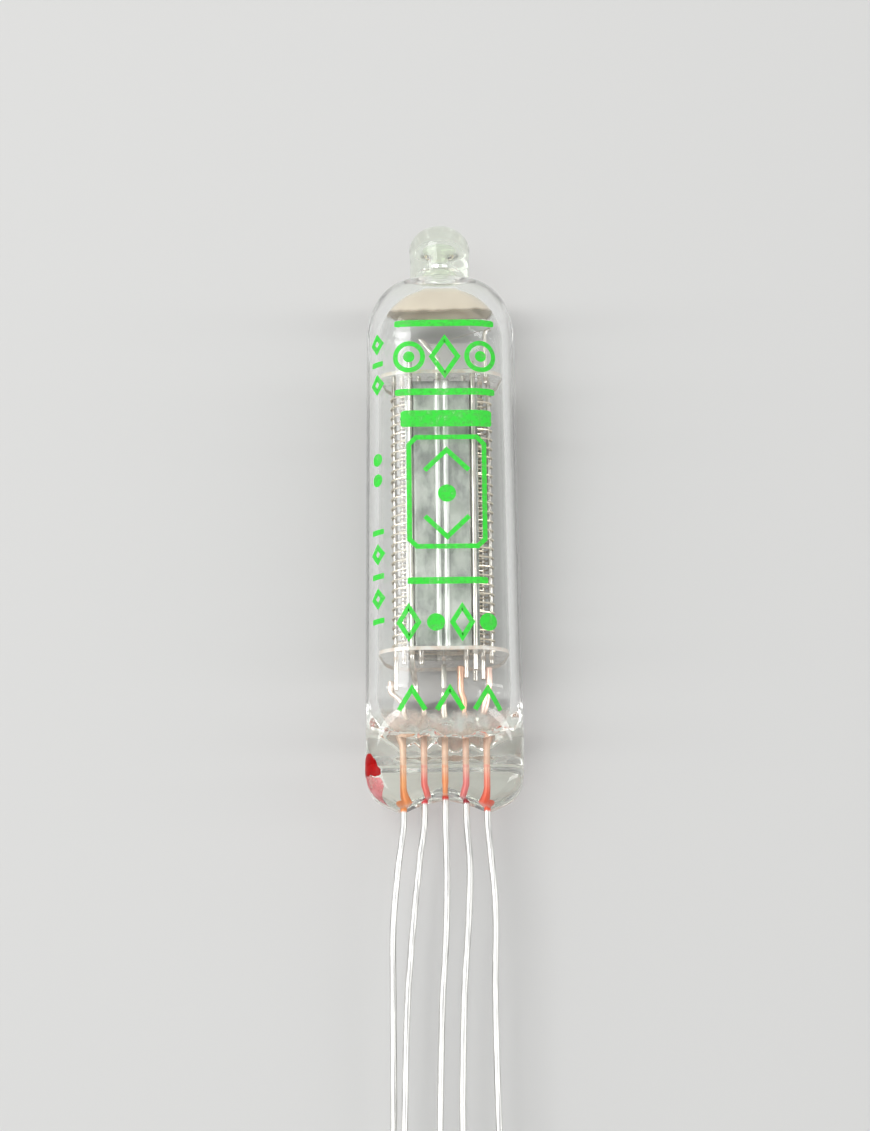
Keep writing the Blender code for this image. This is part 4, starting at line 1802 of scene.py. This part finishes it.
@dataclass
class PaintDot:
    """The dab of red paint on the edge of the press that marks the first lead, with a painted pink
    reflection of it in the glass below.
    """

    bulb: Bulb
    dab: tuple[tuple[float, float], ...] = (
        (-5.9, 2.75), (-5.3, 3.05), (-4.95, 3.02), (-4.5, 2.72), (-4.12, 2.28), (-3.90, 1.88),
        (-3.92, 1.66), (-4.15, 1.62), (-4.65, 1.74), (-5.2, 1.80), (-5.9, 1.9), (-6.2, 2.3),
    )
    # outline of a painted reflection: the dab seen pink in the glass below it, laid on as thin
    # paint
    painted_reflection: tuple[tuple[float, float], ...] = (
        (-5.6, 1.70), (-4.9, 1.66), (-4.3, 1.52), (-3.9, 1.45), (-3.72, 1.0), (-3.85, 0.6),
        (-4.1, 0.25), (-4.4, 0.1), (-4.9, 0.3), (-5.4, 0.8), (-5.8, 1.3),
    )
    gap: float = 0.01 * MM
    thickness: float = 0.05 * MM
    swell: float = 0.7

    def spread(self, outline: Sequence[tuple[float, float]], thickness: float) -> bpy.types.Object:
        """Spread paint inside an outline on the glass.

        Args:
            outline: Each corner's travel and height, in millimetres.
            thickness: The paint's thickness in its middle.

        Returns:
            The paint, as a closed lens.
        """
        middle = sum((Vector(each) for each in outline), Vector((0.0, 0.0))) / len(outline)
        offsets = [Vector(each) - middle for each in outline]
        polar = sorted((math.atan2(each.y, each.x) % math.tau, each.length) for each in offsets)
        first, last = polar[0], polar[-1]
        polar = [(last[0] - math.tau, last[1]), *polar, (first[0] + math.tau, first[1])]
        deselect()
        bpy.ops.mesh.primitive_uv_sphere_add(segments=72, ring_count=24, radius=1.0)
        paint = bpy.context.object
        for vertex in paint.data.vertices:
            across, up, out = vertex.co
            angle = math.atan2(up, across) % math.tau
            after = next(number for number, each in enumerate(polar) if each[0] > angle)
            low, high = polar[after - 1], polar[after]
            reach = between(low[1], high[1], eased((angle - low[0]) / (high[0] - low[0])))
            reach *= min(math.hypot(across, up), 1.0)
            travel = (middle.x + reach * math.cos(angle)) * MM
            height = (middle.y + reach * math.sin(angle)) * MM
            off = self.gap + thickness * max(out, 0.0) ** self.swell
            vertex.co = self.bulb.outside(travel, height, off)
        return paint

    def build(self, finish: Paint, reflection_finish: Paint) -> None:
        """Dab the paint on, add its painted reflection below it, and show them.

        Args:
            finish: The paint.
            reflection_finish: The paint of the dab's painted reflection, pink and patchy in the
                glass below it.
        """
        dab = settle(self.spread(self.dab, self.thickness), "red_dab", 60.0)
        show(dab, finish.material(), ["paint_dot"])
        # the pink patch below the dab is a painted reflection of it
        painted_reflection = settle(self.spread(self.painted_reflection, self.thickness / 4), "red_painted_reflection", 60.0)
        show(painted_reflection, reflection_finish.material())


class Motif(Enum):
    """The plain shapes of the print."""

    BAR = "bar"
    RING = "ring"
    DIAMOND = "diamond"
    DOT = "dot"
    FRAME = "frame"
    CHEVRON = "chevron"


@dataclass(frozen=True)
class Mark:
    """One shape of the print, by its middle and its size, in millimetres."""

    motif: Motif
    across: float
    height: float
    width: float
    tall: float


@dataclass
class Print:
    """The green print on the front of the bulb: plain shapes in rows."""

    bulb: Bulb
    stroke: float = 0.3
    frame_cut: float = 0.45
    gap: float = 0.006 * MM
    thickness: float = 0.012 * MM
    grain: float = 0.12
    marks: tuple[Mark, ...] = (
        Mark(Motif.BAR, 0.25, 29.65, 6.2, 0.42),
        Mark(Motif.RING, -1.95, 27.5, 2.0, 2.0),
        Mark(Motif.DOT, -1.95, 27.5, 0.7, 0.7),
        Mark(Motif.DIAMOND, 0.25, 27.5, 1.9, 2.6),
        Mark(Motif.RING, 2.45, 27.5, 2.0, 2.0),
        Mark(Motif.DOT, 2.45, 27.5, 0.7, 0.7),
        Mark(Motif.BAR, 0.25, 25.25, 6.2, 0.42),
        Mark(Motif.BAR, 0.30, 23.55, 5.6, 1.05),
        Mark(Motif.FRAME, 0.30, 18.9, 4.9, 7.2),
        Mark(Motif.CHEVRON, 0.30, 20.9, 3.0, 1.6),
        Mark(Motif.DOT, 0.30, 18.8, 1.1, 1.1),
        Mark(Motif.CHEVRON, 0.30, 16.7, 3.0, -1.6),
        Mark(Motif.BAR, 0.30, 13.3, 4.9, 0.42),
        Mark(Motif.DIAMOND, -2.1, 10.7, 1.5, 2.2),
        Mark(Motif.DOT, -0.45, 10.7, 1.1, 1.1),
        Mark(Motif.DIAMOND, 1.15, 10.7, 1.5, 2.2),
        Mark(Motif.DOT, 2.75, 10.7, 1.1, 1.1),
        Mark(Motif.CHEVRON, -1.95, 5.9, 1.9, 1.6),
        Mark(Motif.CHEVRON, 0.35, 5.9, 1.9, 1.6),
        Mark(Motif.CHEVRON, 2.65, 5.9, 1.9, 1.6),
        Mark(Motif.DIAMOND, -4.2, 28.6, 1.1, 1.2),
        Mark(Motif.BAR, -4.2, 27.3, 1.0, 0.34),
        Mark(Motif.DIAMOND, -4.2, 26.0, 1.1, 1.2),
        Mark(Motif.DOT, -4.2, 21.2, 0.8, 0.8),
        Mark(Motif.DOT, -4.2, 19.9, 0.8, 0.8),
        Mark(Motif.BAR, -4.2, 16.6, 1.0, 0.34),
        Mark(Motif.DIAMOND, -4.2, 15.2, 1.1, 1.2),
        Mark(Motif.BAR, -4.2, 13.8, 1.0, 0.34),
        Mark(Motif.DIAMOND, -4.2, 12.4, 1.1, 1.2),
        Mark(Motif.BAR, -4.2, 11.0, 1.0, 0.34),
    )

    def band(self, path: Sequence[tuple[float, float]], closed: bool = True) -> bpy.types.Object:
        """A flat stroke along a path.

        Args:
            path: Its corners, in millimetres.
            closed: Whether it comes round to its start.

        Returns:
            The stroke, as a strip of a grid.
        """
        ends = [Vector(each) for each in path]
        if closed:
            ends.append(ends[0])
        points, sides = [], []
        for number, (start, end) in enumerate(zip(ends, ends[1:])):
            way = (end - start).normalized()
            cross = Vector((-way.y, way.x))
            steps = max(round((end - start).length / self.grain), 1)
            for step in range(steps):
                points.append(start.lerp(end, step / steps))
                side = cross
                if step == 0 and (number or closed):
                    before = (start - ends[number - 1 if number else -2]).normalized()
                    joint = (Vector((-before.y, before.x)) + cross).normalized()
                    side = joint / max(joint.dot(cross), 0.35)
                sides.append(side)
        if not closed:
            points.append(ends[-1])
            sides.append(sides[-1])
        count = len(points)
        deselect()
        columns = count + closed
        bpy.ops.mesh.primitive_grid_add(x_subdivisions=columns - 1, y_subdivisions=2, size=1.0)
        strip = bpy.context.object
        for number, vertex in enumerate(strip.data.vertices):
            row, column = divmod(number, columns)
            place = points[column % count] + sides[column % count] * self.stroke * (row - 1) / 2
            vertex.co = (place.x * MM, place.y * MM, 0.0)
        return strip

    def filled(self, mark: Mark, power: float) -> bpy.types.Object:
        """A flat shape filled with colour.

        Args:
            mark: The shape.
            power: 2 for an oval, and more for a rounded oblong.

        Returns:
            The shape, as a mapped grid.
        """
        deselect()
        steps = (max(round(mark.width / self.grain), 6), max(round(mark.tall / self.grain), 6))
        bpy.ops.mesh.primitive_grid_add(x_subdivisions=steps[0], y_subdivisions=steps[1], size=2.0)
        shape = bpy.context.object
        for vertex in shape.data.vertices:
            x, y, _ = vertex.co
            far = max(abs(x), abs(y))
            if far:
                angle = math.atan2(y, x)
                near, side = math.cos(angle), math.sin(angle)
                reach = (abs(near) ** power + abs(side) ** power) ** (-1 / power)
                x, y = far * reach * near, far * reach * side
            vertex.co = (
                (mark.across + x * mark.width / 2) * MM, (mark.height + y * mark.tall / 2) * MM, 0.0
            )
        return shape

    def drawn(self, mark: Mark) -> bpy.types.Object:
        """Draw one shape flat.

        Args:
            mark: The shape.

        Returns:
            The flat shape.
        """
        half = (mark.width - self.stroke) / 2
        tall = math.copysign((abs(mark.tall) - self.stroke) / 2, mark.tall)

        def turned(count: int) -> list[tuple[float, float]]:
            """Points round the shape's oval."""
            angles = [math.tau * step / count for step in range(count)]
            return [
                (mark.across + half * math.cos(angle), mark.height + tall * math.sin(angle))
                for angle in angles
            ]

        if mark.motif is Motif.DOT:
            return self.filled(mark, 2.0)
        if mark.motif is Motif.BAR:
            return self.filled(mark, 16.0)
        if mark.motif is Motif.RING:
            return self.band(turned(48))
        if mark.motif is Motif.DIAMOND:
            return self.band(turned(4))
        low, high = mark.height - tall, mark.height + tall
        if mark.motif is Motif.CHEVRON:
            ends = [(mark.across - half, low), (mark.across, high), (mark.across + half, low)]
            return self.band(ends, closed=False)
        left, right, cut = mark.across - half, mark.across + half, self.frame_cut
        return self.band([
            (left + cut, low), (right - cut, low), (right, low + cut), (right, high - cut),
            (right - cut, high), (left + cut, high), (left, high - cut), (left, low + cut),
        ])

    def build(self, finish: Paint) -> None:
        """Print each shape on the glass and show them as one piece.

        Args:
            finish: The ink.
        """
        shapes = [
            wrapped(self.drawn(mark), self.bulb, self.gap, self.thickness) for mark in self.marks
        ]
        show(settle(joined(shapes), "green_print", 60.0), finish.material())


@dataclass
class Studio:
    """The floor, the lamps, the world and the camera."""

    bulb: Bulb
    floor_size: float = 3.0
    elevation: float = math.radians(75.0)
    roll: float = math.radians(-0.622)
    distance: float = 0.370
    lens: float = 191.6
    aim_height: float = 18.5 * MM
    aim_across: float = -0.444 * MM
    aim_up: float = -3.2 * MM
    sky: Colour = (0.38, 0.38, 0.38)
    backdrop: Colour = (0.80, 0.80, 0.80)
    bounces: int = 28
    lamps: tuple[tuple[str, Colour, tuple[float, float], float], ...] = (
        ("key", (-0.25, 0.10, 0.45), (0.30, 0.30), 1.25),
        ("left_strip", (-0.80, 0.0, 0.52), (0.12, 1.00), 2.2),
        ("right_strip", (0.80, 0.0, 0.52), (0.12, 1.00), 2.2),
    )

    def add_floor(self) -> None:
        """Add the floor under the tube."""
        deselect()
        bpy.ops.mesh.primitive_plane_add(size=self.floor_size, location=(0.0, 0.0, 0.0))
        floor = bpy.context.object
        floor.name = "floor"
        floor.data.materials.append(PaleFloor().material())

    def add_lamp(self, name: str, place: Vector, size: tuple[float, float], power: float) -> None:
        """Add a soft lamp that faces the tube.

        Args:
            name: The lamp's name.
            place: Where it is.
            size: Its width and its height.
            power: Its power in watts.
        """
        deselect()
        bpy.ops.object.light_add(type="AREA", location=place)
        lamp = bpy.context.object
        lamp.name = name
        lamp.data.shape = "RECTANGLE"
        lamp.data.size, lamp.data.size_y = size
        lamp.data.energy = power
        target = Vector((0.0, 0.0, self.bulb.axis))
        lamp.rotation_euler = (target - place).to_track_quat("-Z", "Y").to_euler()

    def add_world(self) -> None:
        """Fill the world with soft grey, which the camera, metal and glass see as paler."""
        world = bpy.data.worlds.new("studio")
        shop = Nodes(world)
        rays = shop.node("ShaderNodeLightPath").outputs
        seen = Socket(shop, rays["Is Camera Ray"])
        for ray in ("Is Glossy Ray", "Is Transmission Ray"):
            seen = seen.larger(rays[ray])
        shades = [
            shop.node("ShaderNodeBackground", {"Color": (*colour, 1.0)}).outputs[0]
            for colour in (self.sky, self.backdrop)
        ]
        mixed = shop.node("ShaderNodeMixShader", {0: seen, 1: shades[0], 2: shades[1]})
        shop.node("ShaderNodeOutputWorld", {"Surface": mixed.outputs[0]})
        bpy.context.scene.world = world

    def add_camera(self) -> None:
        """Look down on the tube from its lead side, as the photograph does."""
        back = Vector((0.0, -math.cos(self.elevation), math.sin(self.elevation)))
        right = Vector((1.0, 0.0, 0.0))
        up = back.cross(right)
        turned_right = right * math.cos(self.roll) + up * math.sin(self.roll)
        turned_up = up * math.cos(self.roll) - right * math.sin(self.roll)
        target = self.bulb.at(0.0, self.aim_height, 0.0)
        target += turned_right * self.aim_across + turned_up * self.aim_up
        data = bpy.data.cameras.new("camera")
        data.lens = self.lens
        data.clip_start = 0.01
        camera = bpy.data.objects.new("camera", data)
        bpy.context.scene.collection.objects.link(camera)
        turn = Matrix((turned_right, turned_up, back)).transposed().to_4x4()
        camera.matrix_world = Matrix.Translation(target + back * self.distance) @ turn
        bpy.context.scene.camera = camera

    def add_bounces(self) -> None:
        """Let light turn often enough inside the thick glass to leave it again."""
        cycles = bpy.context.scene.cycles
        cycles.max_bounces = self.bounces
        cycles.glossy_bounces = self.bounces
        cycles.transmission_bounces = self.bounces

    def build(self) -> None:
        """Set up the whole studio."""
        self.add_floor()
        self.add_world()
        for name, place, size, power in self.lamps:
            self.add_lamp(name, Vector(place), size, power)
        self.add_camera()
        self.add_bounces()
        bpy.context.scene.view_settings.view_transform = "Standard"


def main() -> None:
    """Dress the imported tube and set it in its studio."""
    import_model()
    bulb = Bulb.from_frame()
    leads = Leads(bulb)
    nickel = BrightMetal("nickel_rod", (0.70, 0.67, 0.62), (0.46, 0.43, 0.39))
    fine = BrightMetal("grid_wire", (0.86, 0.78, 0.64), (0.60, 0.53, 0.41))
    Studio(bulb).build()
    GlassEnvelope(bulb, leads.places).build(ClearGlass())
    leads.build()
    Rods(nickel).build()
    PlateLeadRods(bulb).build(bpy.data.materials[nickel.name])
    metal = fine.material()
    Winding("suppressor_winding", 0.12 * MM, 0.58 * MM, 48, 2).build(bulb, metal)
    Winding("screen_winding", 0.08 * MM, 0.25 * MM, 36, 1).build(bulb, metal)
    Winding("control_winding", 0.07 * MM, 0.30 * MM, 28, 1).build(bulb, metal)
    Plates(bulb).build(PlateSheet())
    Micas(bulb).build(MicaSheet())
    Strips().build(bulb, bpy.data.materials[nickel.name])
    FineWires(bulb).build(OxideCoat().material(), bpy.data.materials[nickel.name])
    Getter(bulb).build(GetterFilm())
    PaintDot(bulb).build(
        Paint("red_dot", (0.50, 0.0, 0.0), (0.36, 0.0, 0.002), shine=0.15),
        # painted reflection of the dab below it: a pinker, thinner and patchy copy of its paint
        Paint(
            "red_painted_reflection", (0.90, 0.34, 0.36), (0.76, 0.05, 0.07),
            cloud=0.8 * MM, cover=0.72, thin=0.45,
        ),
    )
    ink = Paint("green_ink", (0.05, 0.80, 0.06), (0.10, 0.86, 0.10), shine=0.2, thin=0.4)
    Print(bulb).build(ink)


if __name__ == "__main__":
    logging.basicConfig(level=logging.INFO, format="%(message)s")
    main()
